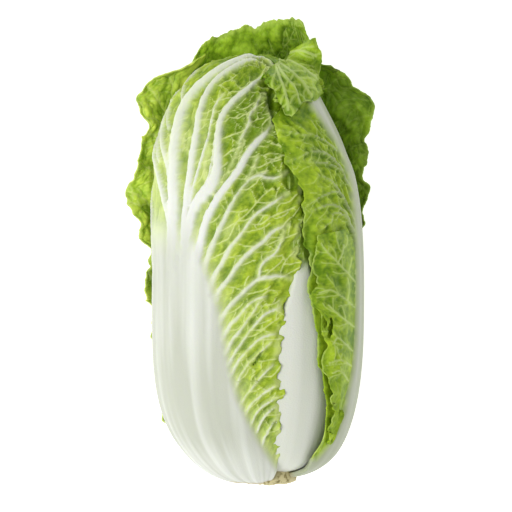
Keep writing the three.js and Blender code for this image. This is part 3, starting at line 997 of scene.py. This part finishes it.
def lobe_lift(u, v):
    """The lobe starts just inside the leaf and stands off it, except at its lower end."""
    return -1.2 + 3.4 * smoothstep(v, 0, 0.45) * smoothstep(u, 0, 0.1)


LOBE_ROWS, LOBE_COLUMNS = 225, 54
lobe_points = patch(LOBE_ROOT, LOBE_EDGE, lobe_lift, LOBE_ROWS, LOBE_COLUMNS)
lobe_painted_shade = mix(0.22, -0.1, smoothstep(np.linspace(0, 1, LOBE_ROWS), 0.3, 0.75))[:, None]
leaves["lobe"] = fold_piece("right_leaf_lobe", "right_leaf", lobe_points, LOBE_VEINS, 10, 1.3, lobe_painted_shade,
                            LOBE_TEARS)

# %% [markdown]
# The tip of the front left leaf turns over the crest and drapes to the right. Its veins spread
# from the place where the fan's ribs meet, and its root is sunk below the leaf that it grows from.

# %% The tip of the front left leaf
TIP_ROOT = [(262, 76), (267, 70), (272, 64), (278, 60), (285, 56), (292, 50), (299, 45), (308, 40)]
TIP_EDGE = [(265, 82), (270, 88), (276, 97), (279, 106), (284, 115), (291, 118), (296, 111), (302, 104),
            (312, 103), (319, 97), (321, 88), (318, 78), (321, 67), (322, 56), (318, 47), (315, 38)]
TIP_VEINS = [
    [(274, 61), (279, 76), (284, 92), (288, 110)],
    [(275, 62), (284, 76), (294, 90), (299, 104)],
    [(275, 61), (288, 70), (300, 82), (311, 97)],
    [(276, 60), (290, 62), (304, 70), (317, 80)],
    [(277, 59), (290, 53), (304, 52), (316, 56)],
]


def tip_lift(u, v):
    """The tip starts well below the crest, stands off it, and comes down again at its edge."""
    return -4.5 + 8.5 * smoothstep(v, 0, 0.45) - 1.5 * smoothstep(v, 0.7, 1)


TIP_ROWS, TIP_COLUMNS = 130, 72
tip_points = patch(TIP_ROOT, TIP_EDGE, tip_lift, TIP_ROWS, TIP_COLUMNS)
# Painted shade: the tip's colour is darker towards its left end and lighter to the right.
tip_painted_shade = mix(-0.25, 0.12, smoothstep(np.linspace(0, 1, TIP_ROWS), 0.45, 0.7))[:, None]
leaves["tip"] = fold_piece("front_left_leaf_tip", "front_left_leaf", tip_points, TIP_VEINS, 13, 2.4, tip_painted_shade)

# %% [markdown]
# ## The leaf between them
# Only the smooth rib of the front middle leaf shows, a grey-white wedge in the shade of its
# neighbours, with green beside its narrow top. Its half width is given in pixels down the picture.

# %% The front middle leaf
MIDDLE_LINE = [(303, 262), (303, 300), (303, 330), (304, 360), (304, 400), (302, 440), (298, 475)]
MIDDLE_HALF_WIDTH = [(3, 262), (13, 300), (22, 330), (28, 360), (34, 400), (38, 440), (42, 475)]

run = mix(8, 300, np.linspace(0, 1, 161))[:, None]
left = np.interp(run, [26, 76, 150, 225, 300], [104, 106, 104, 96, 90])
right = np.interp(run, [26, 76, 150, 225, 300], [0, 8, 20, 30, 40])
angle = mix(left, right, np.linspace(0, 1, 61)[None, :])
depth = mix(9.2, 6.4, bell((angle - 62) / 22))
depth = mix(mix(4.0, 5.4, smoothstep(angle, 50, 80)), depth, smoothstep(run, 30, 75))
points = head_point(CLOSED, angle, run, depth)
px, py = seen_at(points)
half = edge_at(py, MIDDLE_HALF_WIDTH)
plate = 1 - smoothstep(np.abs(px - edge_at(py, MIDDLE_LINE)), half, half + 6)
plate = plate * smoothstep(py, 256, 276)

middle_rib = on_chart([(303, 470), (303, 262), (303, 200)])
anywhere = within(-999, 999, -999, 999)
grown, fine = vein_net([middle_rib], [], anywhere, (8, 22), (4.5, 5), (25, 26))
bumps, traits = blade_relief(points, unrolled(angle, run), grown, fine, 16.0)
grooves = grooves_on(angle, run, 1.1, 0.03, 10, 2, 17.0)
points = raised(points, mix(-1.2 + bumps, 0.45 * grooves, plate))
# Painted shade: the rib is darker in its grooves.
traits.update(white=plate, halo=np.maximum(plate, 0.1), groove=0.5 - 0.5 * grooves, rim=0.0)
traits["dry"] = dried(run)
leaves["middle"] = make_sheet("front_middle_leaf_sheet", "front_middle_leaf", points, traits,
                              mix(LOOSE_THICKNESS, 2.6, plate))

# %% [markdown]
# ## Loose leaves
# Three loose leaves stand out behind the head. What shows of each is a frill: its margin is
# longer than the leaf is wide, so it waves in and out and its rim breaks into round lobes. The
# outline that the camera sees sets how far each one stands out from the head. Their margins lie
# about 25 mm below the head's axis, so a pixel is a little longer there.

# %% Outlines of the loose leaves
LEFT_OUTLINE = [(205, 48), (198, 56), (190, 60), (177, 64), (162, 69), (149, 82), (137, 97), (140, 112),
                (147, 121), (146, 129), (140, 134), (139, 144), (135, 157), (132, 173), (127, 186),
                (124, 200), (128, 211), (136, 219), (139, 230), (141, 239), (149, 245), (149, 262),
                (146, 275), (145, 300), (151, 307), (153, 325), (151, 337), (155, 346), (157, 368),
                (155, 379), (160, 392), (163, 422), (172, 432), (195, 448), (215, 462)]
RIGHT_OUTLINE = [(314, 58), (330, 64), (341, 66), (349, 73), (353, 84), (361, 88), (368, 93), (373, 104),
                 (373, 117), (370, 131), (363, 139), (366, 150), (366, 160), (363, 172), (369, 185),
                 (367, 197), (364, 210), (365, 222), (362, 240), (362, 300), (356, 380), (343, 425),
                 (320, 445), (300, 462)]
TOP_OUTLINE = [(186, 78), (190, 64), (197, 50), (205, 39), (214, 36), (221, 34), (228, 30), (237, 27),
               (246, 25), (254, 28), (259, 27), (267, 22), (278, 19), (289, 18), (298, 21), (305, 25),
               (312, 31), (315, 40), (320, 50), (323, 60), (322, 72), (326, 84)]


MARGIN_DROP = 25


def outline_reach(outline, side, y):
    """How far out the outline lies from the head's axis at each height, on one side."""
    curve = soft_curve(outline, 400)
    lower = PIXEL * (CAMERA_RISE + MARGIN_DROP) / CAMERA_RISE
    x = VIEW_X + (curve[:, 0] - PICTURE / 2) * lower
    height = VIEW_Y - (curve[:, 1] - PICTURE / 2) * lower
    order = np.argsort(height)
    return side * (np.interp(y, height[order], x[order]) - lean_at(y))


# %% [markdown]
# A loose leaf has a broad white rib at its base that narrows upwards, and side ribs that leave it
# in pairs and bend towards the tip. Its cells swell on the face that looks at the camera. The
# waves of its margin move it mostly up and down, so that the outline stays as it is seen.

# %% Relief of a loose leaf
RIB_PAIRS = 15


def side_ribs(width, length, middle, rng):
    """Side ribs on the leaf's chart, in pairs from the stem to the tip."""
    steps = np.linspace(0, 1, 16)
    sides = []
    for i in range(RIB_PAIRS):
        for way, reach in ((-1, middle), (1, width - middle)):
            start = length * (0.04 + 0.9 * (i + rng.uniform(-0.25, 0.25)) / RIB_PAIRS)
            climb = reach * rng.uniform(0.5, 0.85)
            x = middle + way * reach * 0.97 * steps
            y = start + climb * steps**1.4 + 1.6 * np.sin(5 * steps + rng.uniform(0, 6)) * steps
            sides.append(np.stack([x, np.minimum(y, length)], axis=-1))
    return sides


MARGIN_WAY = np.array((0.4, 0.4, 1.0))


def frilled(points, rib_share, seed, frill):
    """Points, traits and rib of a loose leaf. frill is 1 where its margin waves."""
    normal = normals_of(points)
    chart = chart_of(points)
    width, length = chart[-1, -1]
    middle = rib_share * width
    sides = side_ribs(width, length, middle, random.Random(seed))
    grown, fine = vein_net(sides, [], within(0, width, 0, length), (8, 14), (4.2, 5), (seed, seed + 1))
    bumps, traits = blade_relief(points, chart, sides + grown, fine, seed + 2.0, bulge=1)
    across = np.abs(chart[..., 0] - middle)
    up = chart[..., 1] / length
    half = mix(24, 1.2, smoothstep(up, 0, 0.8))
    rib = (1 - smoothstep(across / half, 0.65, 1.25)) * (1 - smoothstep(up, 0.7, 0.9))
    rib = np.maximum(rib, 1 - smoothstep(chart[..., 1], 25, 60))
    branch = bell(distance_to(chart, sides) / mix(1.9, 0.8, smoothstep(across, 5, 50)))
    waves = noise_on(points, 22, 2, seed + 4)
    small_waves = noise_on(points, 8, 2, seed + 5)
    inward = (1.4 + 0.5 * frill) * bumps * (1 - rib) - 0.6 * branch
    inward = inward + frill * (7.5 * waves + 2.6 * small_waves)
    upright = np.broadcast_to(frill, inward.shape)[..., None]
    way = normal * mix(np.ones(3), MARGIN_WAY, upright)
    young = 1 - smoothstep(up, 0.3, 0.65)
    traits["white"] = np.maximum(rib, 0.8 * branch * young)
    traits["halo"] = np.maximum(0.5 * branch, rib * 0.6)
    # Painted light and shade: the tone follows the waves of the margin.
    traits["painted_light_and_shade"] += frill * (0.3 * waves + 0.25 * small_waves)
    traits["groove"] = 0.4 - 0.4 * grooves_on(across, chart[..., 1], 1.0, 0.06, 6, 2, seed)
    traits["dry"] = dried(LEAF_START + chart[..., 1])
    return points - way * inward[..., None], traits, rib


# %% [markdown]
# The two side leaves start behind the head and come forward to their frilled margins. Their
# tips are short in the middle, where the head hides them. Large scallops and small teeth break
# the margin.

# %% The leaves at the left and right
SIDE_RIB_SHARE = 0.45


def side_leaf(name, node, outline, side, angles, tip_run, seed):
    """A loose leaf at one side of the head, from behind it out to its frilled margin."""
    hidden, shown = angles
    rows = spaced((0.45, 75), (1.0, 170))
    columns = spaced((0.35, 16), (1.0, 78))
    tip = mix(285, tip_run, smoothstep(columns, 0.2, 0.85)) - 9 * smoothstep(columns, 0.82, 1) ** 2
    tip = tip + 2.0 * ragged(columns * 60, 11, seed + 2.5)
    run = mix(LEAF_START + 2, tip[None, :], rows[:, None])
    angle = mix(hidden, shown, columns[None, :])
    depth = 4.6 * (1 - 0.4 * columns[None, :])
    y = np.interp(run, LOOSE["run"], LOOSE["y"])
    radius = np.interp(run, LOOSE["run"], LOOSE["radius"]) * (1 - depth / HEAD_RADIUS)
    wanted = outline_reach(outline, side, y) / abs(math.cos(math.radians(shown)))
    scallops = 2.4 * ragged(run[:, -1], 15, seed + 1.5) + 0.8 * ragged(run[:, -1], 4, seed)
    wanted = wanted + scallops[:, None]
    flare = np.maximum(wanted - radius, -16) * columns[None, :] ** 2.2
    points = head_point(LOOSE, angle, run, depth, flare, 0.35)
    frill = smoothstep(columns, 0.45, 1)[None, :] * smoothstep(run, 130, 230)
    rim = smoothstep(columns, 0.965, 1)[None, :]
    rib_share = SIDE_RIB_SHARE
    if side > 0:
        points, frill, rim, rib_share = points[:, ::-1], frill[:, ::-1], rim[:, ::-1], 1 - rib_share
    points, traits, rib = frilled(points, rib_share, seed, frill)
    # Painted light: the frilled margin is paler along its rim, as light through the thin edge.
    traits["rim"] = rim
    return make_sheet(name, node, points, traits, mix(LOOSE_THICKNESS, 2.6, rib), floor=1.5)


leaves["left_back"] = side_leaf("left_back_leaf_sheet", "left_back_leaf", LEFT_OUTLINE, -1,
                                (262, 199), 343, 20)
leaves["right_back"] = side_leaf("right_back_leaf_sheet", "right_back_leaf", RIGHT_OUTLINE, 1,
                                 (278, 341), 341, 30)

# %% [markdown]
# The head lies on the back leaf, whose frill stands above the crest. Each column of its grid ends
# where the camera sees it cross the outline.

# %% The back leaf
BACK_COLUMNS, BACK_TRIES, FIRST_TRY = 175, 240, 300
FRILL_LIT, FRILL_SHADED = [(312, 58, 9, 22, 0.6)], [(284, 38, 22, 16, 0.3)]
FRILL_PALE_LIT = [(318, 60, 7, 18, 0.6)]

rows = spaced((0.7, 100), (1.0, 145))
angles = mix(325, 215, np.linspace(0, 1, BACK_COLUMNS))
top_x, top_y = soft_curve(TOP_OUTLINE, 300).T
runs = np.linspace(FIRST_TRY, LOOSE["length"] - 1, BACK_TRIES)
ends = []
for angle in angles:
    px, py = seen_at(head_point(LOOSE, angle, runs, 0))
    outside = np.nonzero(py < np.interp(px, top_x, top_y))[0]
    ends.append(runs[outside[0]] if len(outside) else runs[-1])
places = range(BACK_COLUMNS)
scallops = 2.4 * ragged(places, 17, 6.5) + 0.9 * ragged(places, 4, 5.5)
ends = np.minimum(np.array(ends) + scallops, LOOSE["length"] - 1)
run = mix(LEAF_START, ends[None, :], rows[:, None])
points = head_point(LOOSE, angles[None, :], run, 0)
points, traits, rib = frilled(points, 0.5, 40, smoothstep(run, 285, 335))
px, py = seen_at(points)
# Painted light and shade on the back frill: a lit patch, a shaded patch, a paler patch where light comes
# through its margin, and a paler rim.
traits["painted_light_and_shade"] += spots(px, py, FRILL_LIT) - spots(px, py, FRILL_SHADED)
traits["halo"] = np.maximum(traits["halo"], spots(px, py, FRILL_PALE_LIT))
traits["rim"] = smoothstep(rows, 0.98, 1)[:, None]
leaves["back"] = make_sheet("back_leaf_sheet", "back_leaf", points, traits,
                            mix(LOOSE_THICKNESS, 3.2, rib), floor=0.0)

# %% [markdown]
# ## Inner leaves
# Inside, the leaves wrap one another, each turned on round the stem from the last. They close
# over the heart, and only their tips show, from behind the crest. So their rows are fine there and
# wide elsewhere: a pale rib that fades out upwards, side ribs, a net of veins and soft puckers.

# %% Inner leaves
LAYER = 4.6
INNER_COUNT = 8
LEAF_TURN = 137.5
INNER_OUTLINE = [0.8, 1, 1, 1, 1, 0.95, 0.9]


def inner_leaf(index):
    """One of the leaves inside, from the stem to beyond the crest."""
    rib = (270 + index * LEAF_TURN) % 360
    spread = 82 if index else 72
    outer = index < 3
    rows = (spaced((0.7, 24), (1.0, 84)) if outer else spaced((1.0, 64)))[:, None]
    across = np.linspace(-1, 1, 101 if outer else 41)[None, :]
    share = np.interp(rows, np.linspace(0, 1, 7), INNER_OUTLINE)
    angle = rib - spread * share * across
    points = head_point(CLOSED, angle, mix(50, LEFT_TOP, rows), (2 + index) * LAYER + 0.4)
    plate = 1 - smoothstep(np.abs(angle - rib), 18 * (1 - rows) + 2, 40 * (1 - rows) + 6)
    plate = plate * (1 - 0.7 * smoothstep(rows, 0.8, 0.97))
    chart = chart_of(points)
    width, length = chart[-1, -1]
    sides = side_ribs(width, length, width / 2, random.Random(60 + index))
    upper_half = within(0, width, 0.6 * length, length)
    grown, fine = vein_net(sides, [], upper_half, (9, 14), (4.5, 5), (70 + index, 80 + index))
    bumps, traits = blade_relief(points, chart, sides + grown, fine, 50.0 + index)
    height = bumps * (1 - plate) * smoothstep(rows, 0.4, 0.8) - 0.9
    points = raised(points, height)
    traits.update(white=plate, halo=0.45 * (1 - rows), groove=0.0, rim=0.0, dry=0.0)
    name = f"inner_leaf_{index + 1}"
    return make_sheet(f"{name}_sheet", name, points, traits, mix(BLADE_THICKNESS, 2.4, plate))


for index in range(INNER_COUNT):
    leaves[f"inner_{index + 1}"] = inner_leaf(index)

# %% [markdown]
# ## The heart
# The last leaves are closed into a bud. It never shows, so it is a sphere from bmesh, bent onto
# the innermost layer, with five shallow flutes where its leaves overlap.

# %% The heart
def solid_piece(bm, name, node):
    """A finished closed piece from a bmesh whose points are in place."""
    bmesh.ops.recalc_face_normals(bm, faces=bm.faces)
    mesh = bpy.data.meshes.new(name)
    bm.to_mesh(mesh)
    bm.free()
    mesh.shade_smooth()
    piece = bpy.data.objects.new(name, mesh)
    bpy.context.scene.collection.objects.link(piece)
    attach(piece, "root")
    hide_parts(node)
    print(f"{name}: {len(mesh.polygons)} faces")
    return piece


HEART_DEPTH = 47
FLUTE = 0.6

bm = bmesh.new()
bmesh.ops.create_uvsphere(bm, u_segments=64, v_segments=48, radius=1)
for vertex in bm.verts:
    share = 1 - math.acos(max(-1, min(1, vertex.co.z))) / math.pi
    turn = math.atan2(vertex.co.y, vertex.co.x)
    depth = HEART_DEPTH - FLUTE * math.sin(5 * turn + 9 * share)
    x, y, z = head_point(CLOSED, math.degrees(turn), share * CLOSED["length"], depth)
    vertex.co = Vector((x + MIDDLE_X, y + CUT_Y, z)) * MM
heart = solid_piece(bm, "heart_bud", "heart")

# %% [markdown]
# ## The stem
# The cut stump is dry and rough. It is a cone from bmesh that narrows inside the head. Its cut
# face is inset a few times, so that it has enough points to be uneven, and noise makes it lumpy.

# %% The stump
STUMP_RADIUS, STUMP_TIP_RADIUS, STUMP_LENGTH = 21.5, 9, 50
STUMP_X, STUMP_Y = 3.4, 1.6

bm = bmesh.new()
bmesh.ops.create_cone(bm, cap_ends=True, segments=96, radius1=STUMP_RADIUS, radius2=STUMP_TIP_RADIUS,
                      depth=STUMP_LENGTH)
upright = [e for e in bm.edges if abs(e.verts[0].co.z - e.verts[1].co.z) > 1]
bmesh.ops.subdivide_edges(bm, edges=upright, cuts=30)
cap = [f for f in bm.faces if len(f.verts) > 4 and f.calc_center_median().z < 0]
for thickness in (2, 3, 5, 5, 4):
    bmesh.ops.inset_individual(bm, faces=cap, thickness=thickness)
for vertex in bm.verts:
    p = vertex.co.copy()
    y = p.z + STUMP_LENGTH / 2
    lump = noise.fractal(p / 12, 1.0, 2.0, 2)
    rough = noise.fractal(p / 4, 1.0, 2.0, 3)
    size = 1 + 0.12 * lump + 0.03 * rough - 0.3 * math.exp(-y / 1.5)
    x = MIDDLE_X + STUMP_X + lean_at(y) + p.x * size
    vertex.co = Vector((x, CUT_Y + STUMP_Y + y + 0.8 * rough, AXIS_HEIGHT + p.y * size)) * MM
stem = solid_piece(bm, "stem_stump", "stem")

# %% [markdown]
# ## Materials
# Two helpers serve the leaf, stem and heart materials: one turns an sRGB hex colour to linear, and
# one adds a node with its settings and fills or links its inputs. An input is named, or given by its
# number where a node has several of the same name.

# %% Colour and node helpers
def colour(hex_code):
    """An sRGB hex colour as a linear colour with alpha."""
    channels = [int(hex_code[i:i + 2], 16) / 255 for i in (1, 3, 5)]
    return tuple(c / 12.92 if c <= 0.04045 else ((c + 0.055) / 1.055) ** 2.4 for c in channels) + (1.0,)


def add_node(tree, kind, settings=None, inputs=None):
    """Adds a node, sets its properties, and fills or links its inputs."""
    node = tree.nodes.new(kind)
    for name, value in (settings or {}).items():
        setattr(node, name, value)
    for name, value in (inputs or {}).items():
        if isinstance(value, bpy.types.NodeSocket):
            tree.links.new(value, node.inputs[name])
        else:
            node.inputs[name].default_value = value
    return node


# %% [markdown]
# A cabbage leaf is one living material in two states: a crisp white rib with a smooth waxy skin,
# and a thin green blade with a satin face. Both let some light in, so their shadows are soft and
# tinted. One shader mixes them by the attributes on the points, and each leaf sets its own greens.
# A vein is a pale line where the stored distance is small. A fine grain breaks up the green, and a
# finer ripple breaks up the gloss.

# %% Leaf material
VEIN_HALF_WIDTH = 0.5
TWIG_HALF_WIDTH = 0.35
GRAIN_SIZE = 2.4
RIPPLE_SIZE = 1.1
GRAIN_SHARE = 0.7
# The halo pales the blade beside the ribs; the rim pales it as painted light at the thin edges.
PALE_SHARES = (("halo", 0.8), ("rim", 0.45))
DRY_SKIN = "#b9a878"


def leaf_material(name, dark, light, pale, white, shade, vein):
    """Fresh leaf. The hex colours are the blade's three and the rib's two, and vein is a strength."""
    material = bpy.data.materials.new(name)
    material.use_nodes = True
    tree = material.node_tree
    tree.nodes.clear()
    trait = {k: add_node(tree, "ShaderNodeAttribute", {"attribute_name": k}).outputs["Fac"]
             for k in ("white", "halo", "second", "third", "painted_light_and_shade", "groove", "rim", "dry")}
    uv = add_node(tree, "ShaderNodeUVMap", {"uv_map": "leaf"}).outputs["UV"]
    grain, ripple = (add_node(tree, "ShaderNodeTexNoise", {"noise_dimensions": "2D"},
                              {"Vector": uv, "Scale": 1 / (size * MM), "Detail": detail}).outputs["Fac"]
                     for size, detail in ((GRAIN_SIZE, 3.0), (RIPPLE_SIZE, 2.0)))
    # Painted light and shade: the tone trait, with a fine grain, moves the blade between its dark and light
    # green.
    toned = add_node(tree, "ShaderNodeMath", {"operation": "MULTIPLY_ADD"},
                     {0: grain, 1: GRAIN_SHARE, 2: trait["painted_light_and_shade"]})
    tone = add_node(tree, "ShaderNodeMath", {"operation": "SUBTRACT", "use_clamp": True},
                    {0: toned.outputs[0], 1: GRAIN_SHARE / 2})

    fades = (("third", TWIG_HALF_WIDTH / FAR, 0.25 * vein), ("second", VEIN_HALF_WIDTH / FAR, vein))
    shares = [add_node(tree, "ShaderNodeMapRange", {"interpolation_type": "SMOOTHSTEP"},
                       {"Value": trait[key], "From Min": half / 2, "From Max": half * 1.5,
                        "To Min": strength, "To Max": 0.0}) for key, half, strength in fades]
    shares += [add_node(tree, "ShaderNodeMapRange", {"interpolation_type": "SMOOTHSTEP"},
                        {"Value": trait[key], "To Max": strength}) for key, strength in PALE_SHARES]
    # Painted shade: the rib is mixed towards its shade colour by the rib's shade-and-streaks trait.
    rib = add_node(tree, "ShaderNodeMix", {"data_type": "RGBA"},
                   {0: trait["groove"], 6: colour(white), 7: colour(shade)})
    layers = [(tone.outputs[0], colour(light))]
    layers += [(share.outputs["Result"], colour(pale)) for share in shares]
    layers += [(trait["white"], rib.outputs[2]), (trait["dry"], colour(DRY_SKIN))]
    skin = colour(dark)
    for share, top in layers:
        skin = add_node(tree, "ShaderNodeMix", {"data_type": "RGBA"}, {0: share, 6: skin, 7: top}).outputs[2]

    bump = add_node(tree, "ShaderNodeBump", {}, {"Strength": 0.35, "Distance": 0.4 * MM, "Height": ripple})
    shader = add_node(tree, "ShaderNodeBsdfPrincipled", {}, {
        "Base Color": skin, "Roughness": 0.5, "Normal": bump.outputs["Normal"],
        "Subsurface Weight": 0.15, "Subsurface Radius": (0.002, 0.0026, 0.001), "Subsurface Scale": 1.0,
        "Specular IOR Level": 0.25})
    add_node(tree, "ShaderNodeOutputMaterial", {}, {"Surface": shader.outputs["BSDF"]})
    return material


# %% [markdown]
# The outer face of the front left leaf is a light yellow-green. The right leaf and the folds are a
# cooler mid-green, and their rib is grey: painted shade, because they face away from the light. The
# middle leaf's greens are a darker copy too, painted shade from the leaves over it. The frills
# behind are thinner. The left one is painted brighter, as light falling on it, and the right one
# darkest, as shade on the side away from the lamp. Leaves from inside the head had no light, so they
# are blanched yellow.

# %% Leaf finishes
WHITE_RIB = ("#ebeee6", "#c3c7b7")
SHADED_RIB = ("#ced3c2", "#adb596")
FINISHES = (
    ("leaf, outer face", ("#71930c", "#c9e142", "#e0eda0"), WHITE_RIB, 0.6, ("front_left",)),
    ("leaf, cooler face in painted shade", ("#678e08", "#b8d630", "#cce27c"), SHADED_RIB, 0.4, ("right", "lobe", "tip")),
    ("leaf, under the others in painted shade", ("#5f8212", "#a8c638", "#cfe09a"), ("#e8ebdf", "#d6dcc8"), 0.5, ("middle",)),
    ("leaf, frilled margin in painted light", ("#82aa14", "#dcf060", "#e0ee90"), WHITE_RIB, 0.4, ("left_back",)),
    ("leaf, behind the crest", ("#4c700a", "#b0d236", "#c8dc70"), WHITE_RIB, 0.35, ("back",)),
    ("leaf, right frill in painted shade", ("#45690c", "#a0c430", "#b0ca58"), WHITE_RIB, 0.4, ("right_back",)),
    ("leaf, half shaded", ("#a9c24c", "#dce98a", "#eef3c0"), ("#f0f1e0", "#dfe1c8"), 0.5,
     ("inner_1", "inner_2", "inner_3")),
    ("leaf, blanched", ("#cdd678", "#ecedb0", "#f2f2d0"), ("#f7f6ea", "#e6e5cf"), 0.4,
     ("inner_4", "inner_5", "inner_6", "inner_7", "inner_8")),
)
for name, blade_colours, rib_colours, vein, keys in FINISHES:
    finish = leaf_material(name, *blade_colours, *rib_colours, vein)
    for key in keys:
        leaves[key].data.materials.append(finish)
        slot = "inner_leaf" if key.startswith("inner") else "loose_leaf" if "back" in key else "head_leaf"
print("materials:", len(bpy.data.materials))

# %% [markdown]
# The stump's cut face has dried to a corky cream with brown flecks and no gloss at all. The heart
# is the same waxy leaf as the rest, only paler. Both are a noise with two colours, on object
# coordinates, because they have no leaf chart.

# %% Stem and heart materials
for piece, slot, name, low, high, size, roughness in (
        (stem, "cut_stem", "cut stem, dried", "#8d7f4c", "#d6cc9a", 4.0, 0.85),
        (heart, "inner_leaf", "heart leaves, blanched", "#dfe09a", "#f0efc4", 11.0, 0.5)):
    material = bpy.data.materials.new(name)
    material.use_nodes = True
    tree = material.node_tree
    tree.nodes.clear()
    place = add_node(tree, "ShaderNodeTexCoord").outputs["Object"]
    flecks = add_node(tree, "ShaderNodeTexNoise", {},
                      {"Vector": place, "Scale": 1 / (size * MM), "Detail": 5.0})
    ramp = add_node(tree, "ShaderNodeValToRGB", {}, {"Fac": flecks.outputs["Fac"]})
    for element, position, tint in zip(ramp.color_ramp.elements, (0.36, 0.46), (low, high)):
        element.position = position
        element.color = colour(tint)
    bump = add_node(tree, "ShaderNodeBump", {},
                    {"Strength": 0.6, "Distance": 0.8 * MM, "Height": flecks.outputs["Fac"]})
    shader = add_node(tree, "ShaderNodeBsdfPrincipled", {}, {
        "Base Color": ramp.outputs["Color"], "Roughness": roughness, "Normal": bump.outputs["Normal"]})
    add_node(tree, "ShaderNodeOutputMaterial", {}, {"Surface": shader.outputs["BSDF"]})
    piece.data.materials.append(material)

# %% [markdown]
# ## Floor and light
# The photograph is lit as for a catalogue: white all round, a little more from the left. A matt
# white floor that glows keeps the shadow under the head soft and the background white.

# %% The floor
FLOOR_HALF = 6
FLOOR_GREY = 0.7
FLOOR_GLOW = 0.8

bm = bmesh.new()
bmesh.ops.create_grid(bm, x_segments=1, y_segments=1, size=FLOOR_HALF)
floor_mesh = bpy.data.meshes.new("floor")
bm.to_mesh(floor_mesh)
bm.free()
floor_paint = bpy.data.materials.new("matt white studio floor")
floor_paint.use_nodes = True
floor_shader = floor_paint.node_tree.nodes["Principled BSDF"]
for name, value in (("Base Color", (FLOOR_GREY, FLOOR_GREY, FLOOR_GREY, 1)), ("Roughness", 0.9),
                    ("Specular IOR Level", 0.0), ("Emission Color", (1, 1, 1, 1)),
                    ("Emission Strength", FLOOR_GLOW)):
    floor_shader.inputs[name].default_value = value
floor_mesh.materials.append(floor_paint)
floor = bpy.data.objects.new("floor", floor_mesh)
bpy.context.scene.collection.objects.link(floor)

# %% [markdown]
# One large soft lamp stands at the left, above the head, and a white world fills the rest. The
# colours are shown as they are, without a film look, as in the photograph.

# %% Light
LAMP_PLACE, LAMP_AIM = (-0.9, -0.3, 1.45), (0, 0, 0.05)
LAMP_SIZE = 0.8
LAMP_POWER = 15.5
WORLD_STRENGTH = 0.53

lamp_data = bpy.data.lights.new("soft lamp, left", "AREA")
lamp_data.size = LAMP_SIZE
lamp_data.energy = LAMP_POWER
lamp = bpy.data.objects.new("soft lamp, left", lamp_data)
lamp.location = LAMP_PLACE
lamp.rotation_euler = (Vector(LAMP_AIM) - Vector(LAMP_PLACE)).to_track_quat("-Z", "Y").to_euler()
bpy.context.scene.collection.objects.link(lamp)

world = bpy.data.worlds.new("white studio")
world.use_nodes = True
world.node_tree.nodes["Background"].inputs["Color"].default_value = (1, 1, 1, 1)
world.node_tree.nodes["Background"].inputs["Strength"].default_value = WORLD_STRENGTH
bpy.context.scene.world = world
bpy.context.scene.view_settings.view_transform = "Standard"

# %% [markdown]
# ## Triangles
# The number of triangles that the leaf sheets add is printed.

# %% Print the triangle count
print("triangles added, about", sum(triangles.values()))
